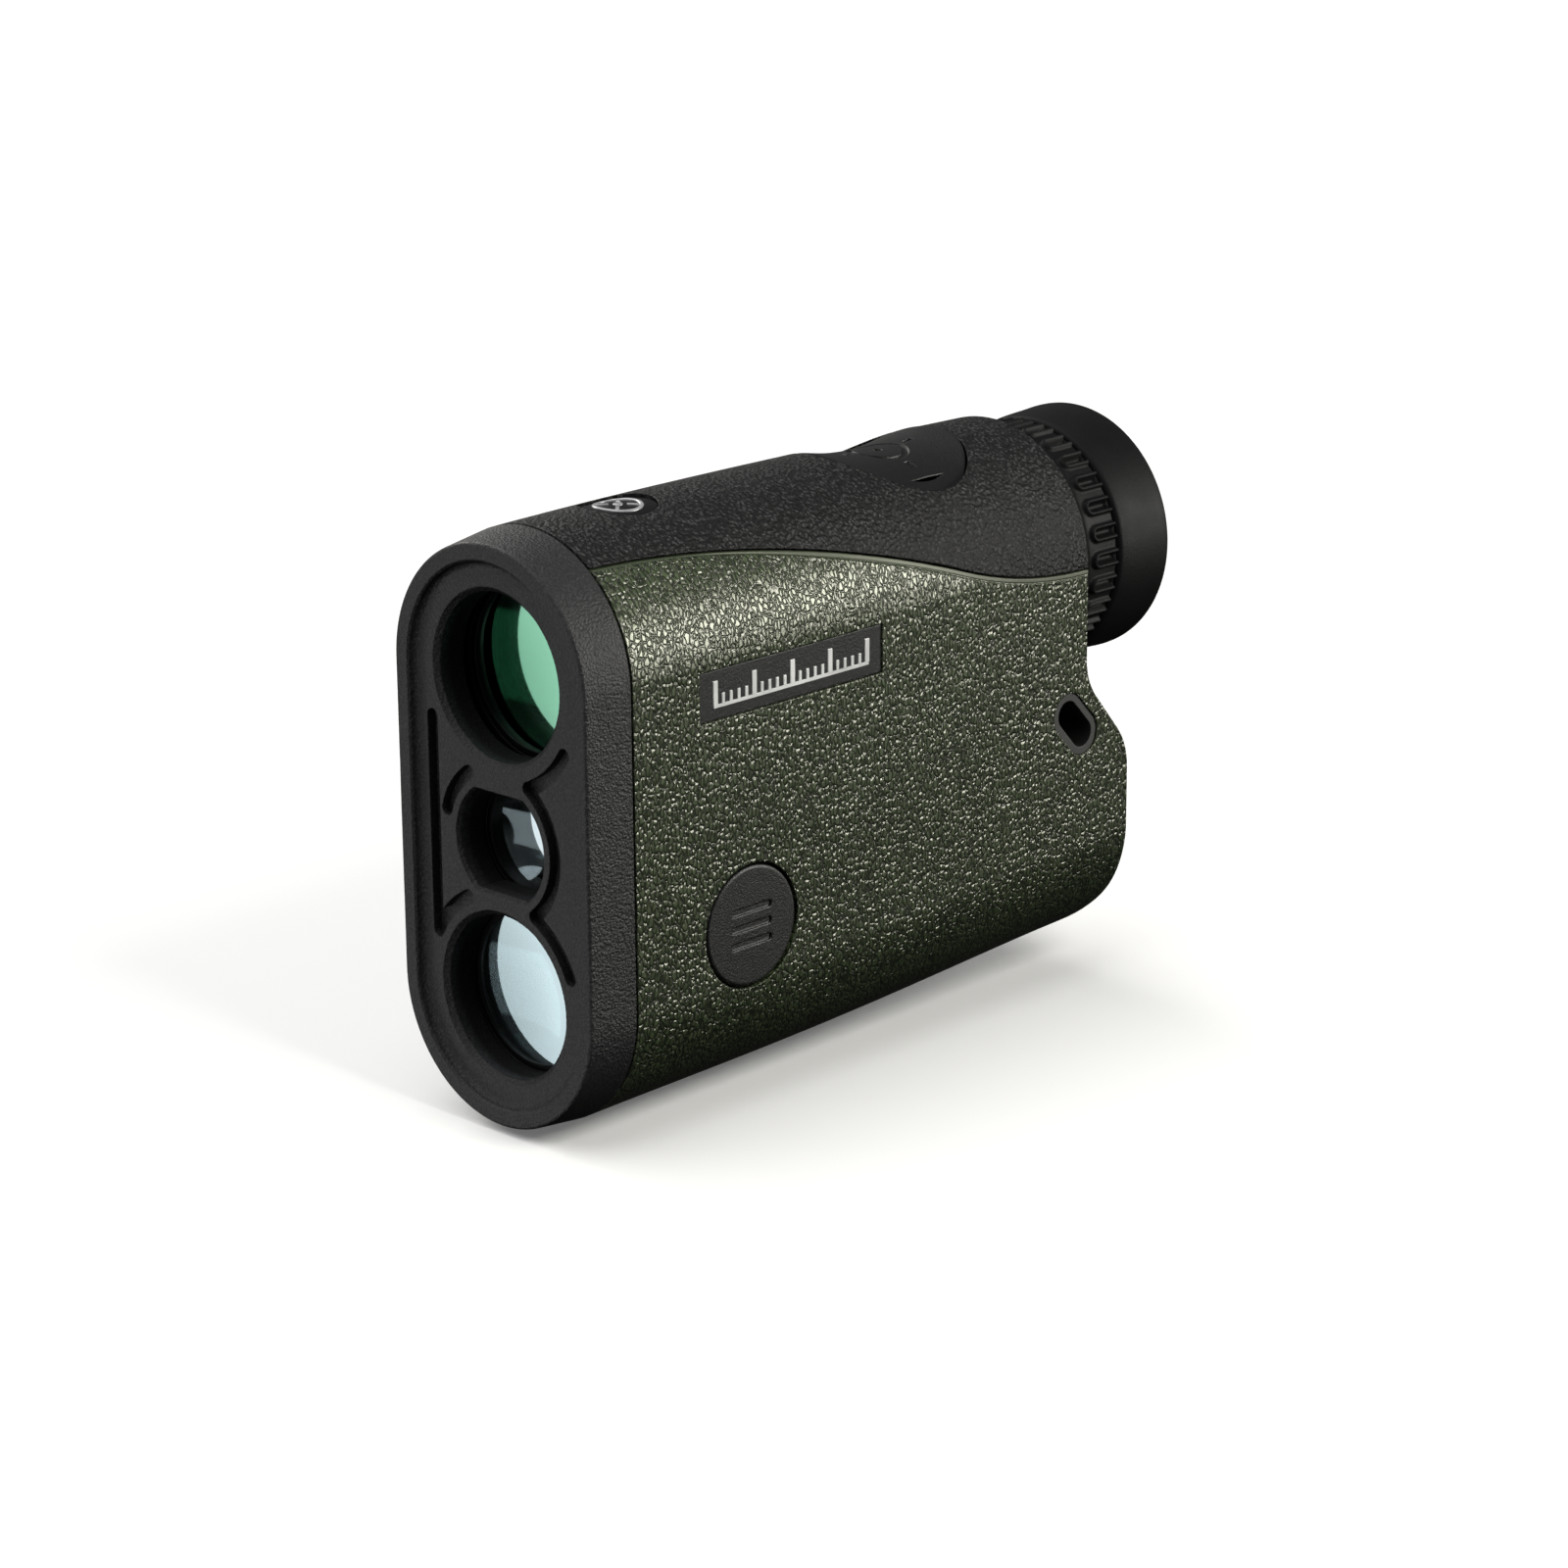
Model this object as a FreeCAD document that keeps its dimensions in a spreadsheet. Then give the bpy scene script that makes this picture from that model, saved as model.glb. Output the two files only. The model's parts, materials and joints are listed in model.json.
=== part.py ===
import FreeCAD, Part
import Sketcher
import math
import os

from FreeCAD import Placement, Rotation, Vector

# Laser rangefinder monocular, in millimetres.
# The sheet counts Y from the front rim towards the eyepiece and Z up from the underside.
# Every sub-part's Placement then moves it forward by half the overall length, so the origin
# is under the middle of the instrument: -Y is the objective end and +X the side button's side.

doc = FreeCAD.newDocument("rangefinder")
sheet = doc.addObject("Spreadsheet::Sheet", "Dims")
parts = []


class Size:
    """A length that carries its number and the sheet formula that gives it."""

    def __init__(self, value, text):
        self.value = float(value)
        self.text = text

    def __add__(self, other):
        other = size(other)
        return Size(self.value + other.value, f"({self.text} + {other.text})")

    def __sub__(self, other):
        other = size(other)
        return Size(self.value - other.value, f"({self.text} - {other.text})")

    def __mul__(self, other):
        other = size(other)
        return Size(self.value * other.value, f"({self.text} * {other.text})")

    def __truediv__(self, other):
        other = size(other)
        return Size(self.value / other.value, f"({self.text} / {other.text})")

    def __neg__(self):
        return Size(-self.value, f"(0 - {self.text})")

    def __radd__(self, other):
        return size(other) + self

    def __rsub__(self, other):
        return size(other) - self

    __rmul__ = __mul__


def size(number):
    return number if isinstance(number, Size) else Size(number, f"{number:.6g}")


def root(number):
    return Size(math.sqrt(number.value), f"sqrt({number.text})")


# ---------------------------------------------------------------- driving dimensions

DIMENSIONS = {
    # overall
    "length_all": 104.8, "half_width": 17.12, "side_flat": 0.02, "wall": 2.6, "cover_skin": 1.5,
    "seam_gap": 0.3,
    # body outline: the underside rises and the crown falls towards the back
    "seam_back": 6.6, "gasket_back": 7.0, "crown_front": 73.4, "crown_mid": 73.7, "crown_back": 73.0,
    "belly_mid": 0.9, "belly_back": 3.3, "station_mid": 48.0, "station_back": 98.0,
    "rim_half_width": 16.35, "rim_low": 0.6, "rim_high": 72.4,
    "upper_back": 87.6, "bulge_back": 96.0, "bulge_corner": 9.0, "step_high": 44.0,
    "step_inner": 8.0, "step_outer": 9.0, "step_outer_high": 27.8, "bulge_floor": 2.8,
    # lower edge of the top cover
    "wave_front": 70.0, "wave_back": 56.2, "wave_radius": 175.0,
    # optical axes
    "sight_high": 56.05, "emitter_high": 35.6, "receiver_high": 16.5,
    # bezel
    "rim_band": 2.25, "dish_depth": 1.15, "dish_round": 1.0, "plate_back": 3.6, "bezel_skin": 1.8,
    "lip_chamfer": 0.65, "sight_hole": 10.3, "emitter_hole": 7.35, "emitter_flat": 6.1,
    "receiver_hole": 10.2, "groove_width": 1.8, "groove_depth": 1.3, "ring_sight": 13.45,
    "ring_emitter": 9.55, "ring_receiver": 12.85, "tube_skin": 1.1,
    # cells and lenses
    "sight_cell": 12.0, "emitter_cell_radius": 8.0, "receiver_cell_radius": 11.0,
    "frame_front": 15.0, "frame_back": 17.5,
    # controls
    "fire_at": 66.5, "fire_radius": 11.1, "fire_gap": 0.3,
    "side_at": 26.1, "side_high": 23.4, "side_radius": 7.55, "side_gap": 0.35,
    # name bars, badge, slot
    "bar_front": 17.9, "bar_back": 49.0, "bar_low": 50.3, "bar_high": 56.25, "bar_recess": 0.6,
    "badge_at": 21.4, "badge_radius": 4.7, "slot_at": 85.6, "slot_high": 35.8, "slot_half": 1.87,
    "slot_reach": 1.98, "slot_lean": 47.0,
    # eyepiece
    "neck_radius": 12.5, "ring_radius": 15.8, "cup_radius": 16.4, "barrel_radius": 11.2,
    # power
    "battery_high": 18.5, "battery_radius": 7.75, "battery_length": 27.0, "bore_radius": 8.0,
    "cap_radius": 9.8, "cap_floor": 94.4,
}


def cell(index):
    return f"B{index + 1}"


for index, (name, value) in enumerate(DIMENSIONS.items()):
    sheet.set(f"A{index + 1}", name)
    sheet.set(cell(index), str(value))
    sheet.setAlias(cell(index), name)
doc.recompute()


def dim(name):
    return Size(DIMENSIONS[name], f"Dims.{name}")


hw = dim("half_width")
wall = dim("wall")
seam = dim("seam_back")
front = dim("gasket_back")
sight = dim("sight_high")
emitter = dim("emitter_high")
receiver = dim("receiver_high")


# ---------------------------------------------------------------- modelling helpers

def line(x, y):
    return ("line", size(x), size(y), None, None, 0)


def arc(x, y, centre_x, centre_y, turn):
    """An arc to (x, y) about a centre; turn is +1 anticlockwise, -1 clockwise."""
    return ("arc", size(x), size(y), size(centre_x), size(centre_y), turn)


def pin_coordinate(sketch, kind, geometry, point, length):
    """Holds one coordinate of a sketch point at a sheet formula."""
    if length.value == 0.0:
        axis = -2 if kind == "DistanceX" else -1
        sketch.addConstraint(Sketcher.Constraint("PointOnObject", geometry, point, axis))
        return
    row = sketch.addConstraint(Sketcher.Constraint(kind, -1, 1, geometry, point, length.value))
    sketch.setExpression(f"Constraints[{row}]", length.text)


def draw_outline(sketch, steps):
    """Draws a closed outline of lines and arcs, every corner pinned to the sheet."""
    corners = [(step[1], step[2]) for step in steps]
    ends = []
    for index, step in enumerate(steps):
        ax, ay = corners[index - 1]
        bx, by = corners[index]
        start, stop = Vector(ax.value, ay.value, 0), Vector(bx.value, by.value, 0)
        if step[0] == "line":
            geometry = sketch.addGeometry(Part.LineSegment(start, stop))
            ends.append((geometry, 1, 2))
            continue
        centre = Vector(step[3].value, step[4].value, 0)
        circle = Part.Circle(centre, Vector(0, 0, 1), (start - centre).Length)
        angles = [math.atan2(p.y - centre.y, p.x - centre.x) for p in (start, stop)]
        if step[5] < 0:
            angles.reverse()
        geometry = sketch.addGeometry(Part.ArcOfCircle(circle, angles[0], angles[1]))
        ends.append((geometry, 1, 2) if step[5] > 0 else (geometry, 2, 1))
    for index, (geometry, first, last) in enumerate(ends):
        following = ends[(index + 1) % len(ends)]
        sketch.addConstraint(Sketcher.Constraint("Coincident", geometry, last, following[0], following[1]))
        x, y = corners[index]
        pin_coordinate(sketch, "DistanceX", geometry, last, x)
        pin_coordinate(sketch, "DistanceY", geometry, last, y)
        step = steps[index]
        if step[0] == "arc":
            ax, ay = corners[index - 1]
            flat_chord = abs(x.value - ax.value) > abs(y.value - ay.value)
            kind, length = ("DistanceY", step[4]) if flat_chord else ("DistanceX", step[3])
            pin_coordinate(sketch, kind, geometry, 3, length)


def draw_circle(sketch, x, y, radius):
    circle = Part.Circle(Vector(size(x).value, size(y).value, 0), Vector(0, 0, 1), size(radius).value)
    geometry = sketch.addGeometry(circle)
    row = sketch.addConstraint(Sketcher.Constraint("Radius", geometry, size(radius).value))
    sketch.setExpression(f"Constraints[{row}]", size(radius).text)
    pin_coordinate(sketch, "DistanceX", geometry, 3, size(x))
    pin_coordinate(sketch, "DistanceY", geometry, 3, size(y))


PLANES = {
    "X": (Rotation(Vector(1, 1, 1), 120), Vector(1, 0, 0)),
    "Y": (Rotation(Vector(1, 0, 0), 90), Vector(0, 1, 0)),
    "Z": (Rotation(), Vector(0, 0, 1)),
}


PLANE_INDEX = {"x": 0, "y": 1, "z": 2}


def flat_sketch(name, axis, station):
    """A sketch across an axis: seen along X it is (Y, Z), along Y (X, Z) and along Z (X, Y)."""
    sketch = doc.addObject("Sketcher::SketchObject", name)
    turn, direction = PLANES[axis]
    sketch.Placement = Placement(direction * size(station).value, turn)
    sketch.setExpression(f"Placement.Base.{axis.lower()}", size(station).text)
    return sketch


def prism(name, axis, start, stop, steps=None, circles=()):
    """A straight solid along an axis from an outline, with any round holes or as a round bar."""
    sketch = flat_sketch(f"{name}_outline", axis, start)
    if steps:
        draw_outline(sketch, steps)
    for x, y, radius in circles:
        draw_circle(sketch, x, y, radius)
    solid = doc.addObject("Part::Extrusion", f"{name}_prism")
    solid.Base = sketch
    solid.DirMode = "Custom"
    solid.Dir = PLANES[axis][1]
    solid.Solid = True
    length = size(stop) - size(start)
    solid.LengthFwd = length.value
    solid.setExpression("LengthFwd", length.text)
    return solid


def bar(name, axis, start, stop, x, y, radius):
    return prism(name, axis, start, stop, circles=[(x, y, radius)])


def rectangle(left, low, right, high):
    return [line(right, low), line(right, high), line(left, high), line(left, low)]


def stadium(half, low, high):
    """Upright outline with half-round ends, given its half width and its lowest and highest points."""
    bottom, top = low + half, high - half
    return [line(half, top), arc(-half, top, 0, top, 1), line(-half, bottom), arc(half, bottom, 0, bottom, 1)]


def cut(name, base, *tools):
    result = doc.addObject("Part::Cut", f"{name}_cut")
    result.Base = base
    result.Tool = tools[0] if len(tools) == 1 else fuse(f"{name}_tools", *tools)
    return result


def cut_each(name, base, *tools):
    for index, tool in enumerate(tools):
        base = cut(f"{name}_{index}", base, tool)
    return base


def fuse(name, *solids):
    result = doc.addObject("Part::MultiFuse", f"{name}_fuse")
    result.Shapes = list(solids)
    result.Refine = False
    return result


def common(name, *solids):
    result = doc.addObject("Part::MultiCommon", f"{name}_common")
    result.Shapes = list(solids)
    return result


def group(name, *solids):
    result = doc.addObject("Part::Compound", f"{name}_group")
    result.Links = list(solids)
    return result


def rounded(name, base, axis, station, radius):
    """Rounds every edge of a piece that lies in one plane across an axis."""
    doc.recompute()
    key = axis.lower()
    level = size(station).value
    flat = [index + 1 for index, edge in enumerate(base.Shape.Edges)
            if abs(edge.BoundBox.Center[PLANE_INDEX[key]] - level) < 1e-4
            and getattr(edge.BoundBox, f"{axis}Length") < 1e-4]
    result = doc.addObject("Part::Fillet", f"{name}_rounding")
    result.Base = base
    result.Edges = [(index, radius, radius) for index in flat]
    return result


def place(solid, name, high=None):
    """Names a finished sub-part and puts it in the common frame."""
    solid.Label = name
    shift = dim("length_all") / 2
    lift = size(0) if high is None else high
    solid.Placement = Placement(Vector(0, -shift.value, lift.value), Rotation())
    solid.setExpression("Placement.Base.y", f"0 - {shift.text}")
    if high is not None:
        solid.setExpression("Placement.Base.z", high.text)
    parts.append(solid)
    return solid


def turned(name, high, steps):
    """A round piece about an axis along Y at the given height; steps are (radius, Y)."""
    body = doc.addObject("PartDesign::Body", f"{name}_body")
    sketch = body.newObject("Sketcher::SketchObject", f"{name}_half_section")
    plane = [item for item in body.Origin.OriginFeatures if item.Role == "XY_Plane"][0]
    sketch.AttachmentSupport = (plane, [""])
    sketch.MapMode = "FlatFace"
    draw_outline(sketch, steps)
    turn = body.newObject("PartDesign::Revolution", f"{name}_turn")
    turn.Profile = sketch
    turn.ReferenceAxis = (sketch, ["V_Axis"])
    turn.Angle = 360.0
    return place(body, name, high)


def inner_piece(name, high, steps):
    """A round piece left at its sheet station, for cutting further."""
    piece = turned(name, high, steps)
    parts.remove(piece)
    held = doc.addObject("Part::Compound", f"{name}_held")
    held.Links = [piece]
    shift = dim("length_all") / 2
    held.Placement = Placement(Vector(0, shift.value, 0), Rotation())
    held.setExpression("Placement.Base.y", shift.text)
    return held


def tube(name, high, inner, outer, start, stop):
    return turned(name, high, [line(outer, start), line(outer, stop), line(inner, stop), line(inner, start)])


def block(name, x0, x1, y0, y1, z0, z1):
    return prism(name, "Z", z0, z1, rectangle(size(x0), size(y0), size(x1), size(y1)))


# ---------------------------------------------------------------- housing blanks

def section(name, station, low, high, inset):
    sketch = flat_sketch(name, "Y", station)
    draw_outline(sketch, stadium(hw - inset, low + inset, high - inset))
    return sketch


def crown_blank(name, inset, dips=()):
    """The housing's long form, moved in by an inset; dips are (station, depth) in the crown."""
    inset = size(inset)
    mid, back = dim("station_mid"), dim("station_back")
    levels = [(seam, size(0), dim("crown_front")),
              (mid * 0.5, dim("belly_mid") * 0.35, dim("crown_mid")),
              (mid, dim("belly_mid"), dim("crown_mid")),
              (mid * 1.5, (dim("belly_mid") + dim("belly_back")) * 0.5, dim("crown_mid") - 0.25),
              (back, dim("belly_back"), dim("crown_back"))]
    for station, depth in dips:
        share = (size(station) - mid) / (back - mid)
        low = dim("belly_mid") + (dim("belly_back") - dim("belly_mid")) * share
        high = dim("crown_mid") + (dim("crown_back") - dim("crown_mid")) * share - depth
        levels.append((size(station), low, high))
    if dips:
        levels = [level for level in levels if level[0].value not in (mid.value * 1.5,)]
    levels.sort(key=lambda level: level[0].value)
    loft = doc.addObject("Part::Loft", f"{name}_loft")
    loft.Sections = [section(f"{name}_section_{index}", station, low, high, inset)
                     for index, (station, low, high) in enumerate(levels)]
    loft.Solid = True
    return loft


def tail_limit(name, inset):
    """Everything in front of the stepped back of the housing, moved forward by an inset."""
    inset = size(inset)
    upper, bulge = dim("upper_back") - inset, dim("bulge_back") - inset
    cos_ramp, sin_ramp = math.cos(math.radians(40)), math.sin(math.radians(40))
    inner, outer = dim("step_inner") + inset, dim("step_outer") - inset
    inner_y, inner_z = dim("upper_back") + dim("step_inner"), dim("step_high")
    outer_y, outer_z = dim("bulge_back") - dim("step_outer"), dim("step_outer_high")
    corner = dim("bulge_corner") - inset
    floor = dim("bulge_floor") + inset
    outline = [
        line(0, -5), line(bulge - corner, -5), line(bulge - corner, floor),
        arc(bulge, floor + corner, bulge - corner, floor + corner, 1),
        line(bulge, outer_z),
        arc(outer_y + outer * cos_ramp, outer_z + outer * sin_ramp, outer_y, outer_z, 1),
        line(inner_y - inner * cos_ramp, inner_z - inner * sin_ramp),
        arc(upper, inner_z, inner_y, inner_z, -1),
        line(upper, 80), line(0, 80)]
    return prism(f"{name}_tail", "X", -20, 20, outline)


def wave_zone(name, drop):
    """Everything above the wavy lower edge of the top cover, lowered by a gap."""
    y0, y1 = seam, dim("upper_back")
    z0, z1 = dim("wave_front"), dim("wave_back")
    radius = dim("wave_radius")
    run, fall = y1 - y0, z0 - z1
    back_radius = (run * run + fall * fall) / (fall * 2) - radius
    share = radius / (radius + back_radius)
    bend_y, bend_z = y0 + run * share, z0 - fall * share
    outline = [
        line(0, z0 - drop), line(y0, z0 - drop),
        arc(bend_y, bend_z - drop, y0, z0 - radius - drop, -1),
        arc(y1, z1 - drop, y1, z1 + back_radius - drop, 1),
        line(120, z1 - drop), line(120, 90), line(0, 90)]
    return prism(f"{name}_wave", "X", -20, 20, outline)


def obround(half, reach, lean, at, high):
    """A round-ended slot outline, seen from the side, leaning down towards the back."""
    run, rise = math.cos(math.radians(lean)), math.sin(math.radians(lean))
    ends = [(at + reach * run * s, high - reach * rise * s) for s in (1, -1)]
    (y0, z0), (y1, z1) = ends
    side_y, side_z = half * rise, half * run
    return [
        line(y1 + side_y, z1 + side_z), arc(y1 - side_y, z1 - side_z, y1, z1, 1),
        line(y0 - side_y, z0 - side_z), arc(y0 + side_y, z0 + side_z, y0, z0, 1)]


def slot_outline(grow):
    return obround(dim("slot_half") + grow, dim("slot_reach"), DIMENSIONS["slot_lean"],
                   dim("slot_at"), dim("slot_high"))


fire, side_y, side_z = dim("fire_at"), dim("side_at"), dim("side_high")
fire_hole = dim("fire_radius") + dim("fire_gap")
side_hole = dim("side_radius") + dim("side_gap")
battery_z = dim("battery_high")
tube_outer = dim("cap_radius") - 0.2

flat = hw - dim("side_flat")
outer_form = common("outer", crown_blank("outer_round", 0), block("outer_flats", -flat, flat, 0, 120, -5, 90))
cavity_form = crown_blank("cavity", wall)
skin_form = crown_blank("skin", dim("cover_skin"))


def behind_seam(name):
    return prism(name, "Y", front, 120, rectangle(size(-30), size(-10), size(30), size(90)))


def bar_recess(name, side):
    x0, x1 = (hw - dim("bar_recess"), 20) if side > 0 else (-20, -hw + dim("bar_recess"))
    outline = rectangle(dim("bar_front") - 0.15, dim("bar_low") - 0.15,
                        dim("bar_back") + 0.15, dim("bar_high") + 0.15)
    return prism(name, "X", x0, x1, outline)


# screw posts across the inside, clear of the cells, the battery tube and the prisms
POSTS = [(45.0, 38.0), (46.0, 15.0), (72.0, 36.0)]
POST_RADIUS = 2.4
# pockets around the focusing ring
GRIPS = 28
# lugs for the optics frame, beside the middle cell
LUGS = [46.0, 31.5]
LUG_X = 11.8


def housing_blank():
    solid = common("housing", outer_form, tail_limit("housing", 0), behind_seam("housing_behind"))
    hollow = common("hollow", cavity_form, tail_limit("hollow", wall))
    shell = cut("shell", solid, hollow)
    covered = cut("covered", wave_zone("covered", dim("seam_gap")), skin_form)
    inside = [bar(f"post_{index}", "X", -hw + 1, hw - 1, y, z, POST_RADIUS)
              for index, (y, z) in enumerate(POSTS)]
    for index, z in enumerate(LUGS):
        for hand in (-1, 1):
            x0, x1 = sorted((hand * 10.2, hand * 15.5))
            inside.append(block(f"lug_{index}_{hand + 1}", x0, x1, 9.5, dim("frame_front"), z - 2, z + 2))
    whole = fuse("shell_with_posts", cut("uncovered", shell, covered), *inside)
    holes = [
        bar("fire_hole", "Z", 60, 90, 0, fire, fire_hole),
        bar("neck_hole", "Y", 80, 100, 0, sight, dim("neck_radius") + 0.1),
        bar("tube_hole", "Y", 80, 100, 0, battery_z, tube_outer + 0.05),
        bar("cap_recess", "Y", dim("cap_floor"), 100, 0, battery_z, dim("cap_radius") + 0.25),
        prism("slot_hole", "X", -20, 20, slot_outline(1.05)),
        bar_recess("left_bar_recess", 1), bar_recess("right_bar_recess", -1)]
    for index, z in enumerate(LUGS):
        for hand in (-1, 1):
            holes.append(bar(f"lug_hole_{index}_{hand + 1}", "Y", 9.4, 16, hand * LUG_X, z, 0.8))
    return cut("housing_blank", whole, *holes)


blank = housing_blank()


def left_shell():
    half = prism("left_half", "Y", 0, 120, rectangle(size(0), size(-10), size(30), size(90)))
    holes = [bar("side_hole", "X", 12, 20, side_y, side_z, side_hole)]
    holes += [bar(f"pilot_{index}", "X", -1, 9, y, z, 0.8) for index, (y, z) in enumerate(POSTS)]
    place(cut("left_shell", common("left_shell", blank, half), *holes), "left_shell")


def right_shell():
    half = prism("right_half", "Y", 0, 120, rectangle(size(-30), size(-10), size(0), size(90)))
    holes = [bar(f"through_{index}", "X", -20, 1, y, z, 0.9) for index, (y, z) in enumerate(POSTS)]
    holes += [bar(f"sink_{index}", "X", -20, -hw + 2.2, y, z, 1.9) for index, (y, z) in enumerate(POSTS)]
    place(cut("right_shell", common("right_shell", blank, half), *holes), "right_shell")


def top_cover():
    skin = cut("cover_skin", outer_form, skin_form)
    solid = common("cover", skin, wave_zone("cover", 0), tail_limit("cover", 0), behind_seam("cover_behind"))
    holes = [bar("cover_fire_hole", "Z", 60, 90, 0, fire, fire_hole),
             cut("badge_recess",
                 bar("badge_pocket", "Z", 60, 90, 0, dim("badge_at"), dim("badge_radius") + 0.15),
                 crown_blank("badge_floor", 0.9))]
    place(cut("top_cover", solid, *holes), "top_cover")


def top_badge():
    disc = bar("badge_disc", "Z", 60, 90, 0, dim("badge_at"), dim("badge_radius"))
    face = crown_blank("badge_face", 0.3)
    seat = crown_blank("badge_seat", 0.9)
    place(cut("top_badge", common("top_badge", disc, face), seat), "top_badge")


def name_bars():
    for name, hand in (("left_name_bar", 1), ("right_name_bar", -1)):
        deep, proud = hw - dim("bar_recess"), hw - 0.25
        x0, x1 = (deep, proud) if hand > 0 else (-proud, -deep)
        outline = rectangle(dim("bar_front"), dim("bar_low"), dim("bar_back"), dim("bar_high"))
        place(prism(name, "X", x0, x1, outline), name)


def lanyard_sleeve():
    body = prism("sleeve_body", "X", -hw + 0.25, hw - 0.25, slot_outline(1.0))
    place(cut("lanyard_sleeve", body, prism("sleeve_hole", "X", -20, 20, slot_outline(0))), "lanyard_sleeve")


def screws():
    across = []
    for index, (y, z) in enumerate(POSTS):
        shank = bar(f"shell_shank_{index}", "X", -hw + 2.2, 8, y, z, 0.8)
        head = bar(f"shell_head_{index}", "X", -hw + 0.8, -hw + 2.2, y, z, 1.8)
        socket = prism(f"shell_socket_{index}", "X", -hw + 0.7, -hw + 1.6, hexagon(y, z, 0.9))
        across.append(cut(f"shell_screw_{index}", fuse(f"shell_screw_{index}", shank, head), socket))
    place(group("shell_screws", *across), "shell_screws")
    along = []
    for index, z in enumerate(LUGS):
        for hand in (-1, 1):
            tag = f"{index}_{hand + 1}"
            seat = dim("frame_back")
            shank = bar(f"frame_shank_{tag}", "Y", 10.5, seat, hand * LUG_X, z, 0.8)
            head = bar(f"frame_head_{tag}", "Y", seat, seat + 1.2, hand * LUG_X, z, 1.5)
            along.append(fuse(f"frame_screw_{tag}", shank, head))
    place(group("frame_screws", *along), "frame_screws")


def hexagon(x, y, radius):
    turns = [math.radians(60 * step) for step in range(6)]
    return [line(size(x) + radius * math.cos(turn), size(y) + radius * math.sin(turn)) for turn in turns]


# ---------------------------------------------------------------- front bezel

def ring_groove(name, centre_z, radius, start, stop):
    """A round-ended groove along part of a circle, angles in degrees from +X."""
    half = dim("groove_width") / 2
    marks = [(math.cos(math.radians(a)), math.sin(math.radians(a))) for a in (start, stop)]
    (c0, s0), (c1, s1) = marks
    inner, outer = radius - half, radius + half
    outline = [
        arc(outer * c1, centre_z + outer * s1, 0, centre_z, 1),
        arc(inner * c1, centre_z + inner * s1, radius * c1, centre_z + radius * s1, 1),
        arc(inner * c0, centre_z + inner * s0, 0, centre_z, -1),
        arc(outer * c0, centre_z + outer * s0, radius * c0, centre_z + radius * s0, 1)]
    return groove_prism(name, outline)


def groove_prism(name, outline):
    return prism(name, "Y", 0, dim("dish_depth") + dim("groove_depth"), outline)


def upright_groove(name, x, low, high):
    half = dim("groove_width") / 2
    return groove_prism(name, [
        line(x + half, high), arc(x - half, high, x, high, 1),
        line(x - half, low), arc(x + half, low, x, low, 1)])


def cut_flats(radius, flat):
    """A circle cut off above and below by two flats, about the middle axis."""
    reach = root(radius * radius - flat * flat)
    return [arc(reach, emitter + flat, 0, emitter, 1), line(-reach, emitter + flat),
            arc(-reach, emitter - flat, 0, emitter, 1), line(reach, emitter - flat)]


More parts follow.
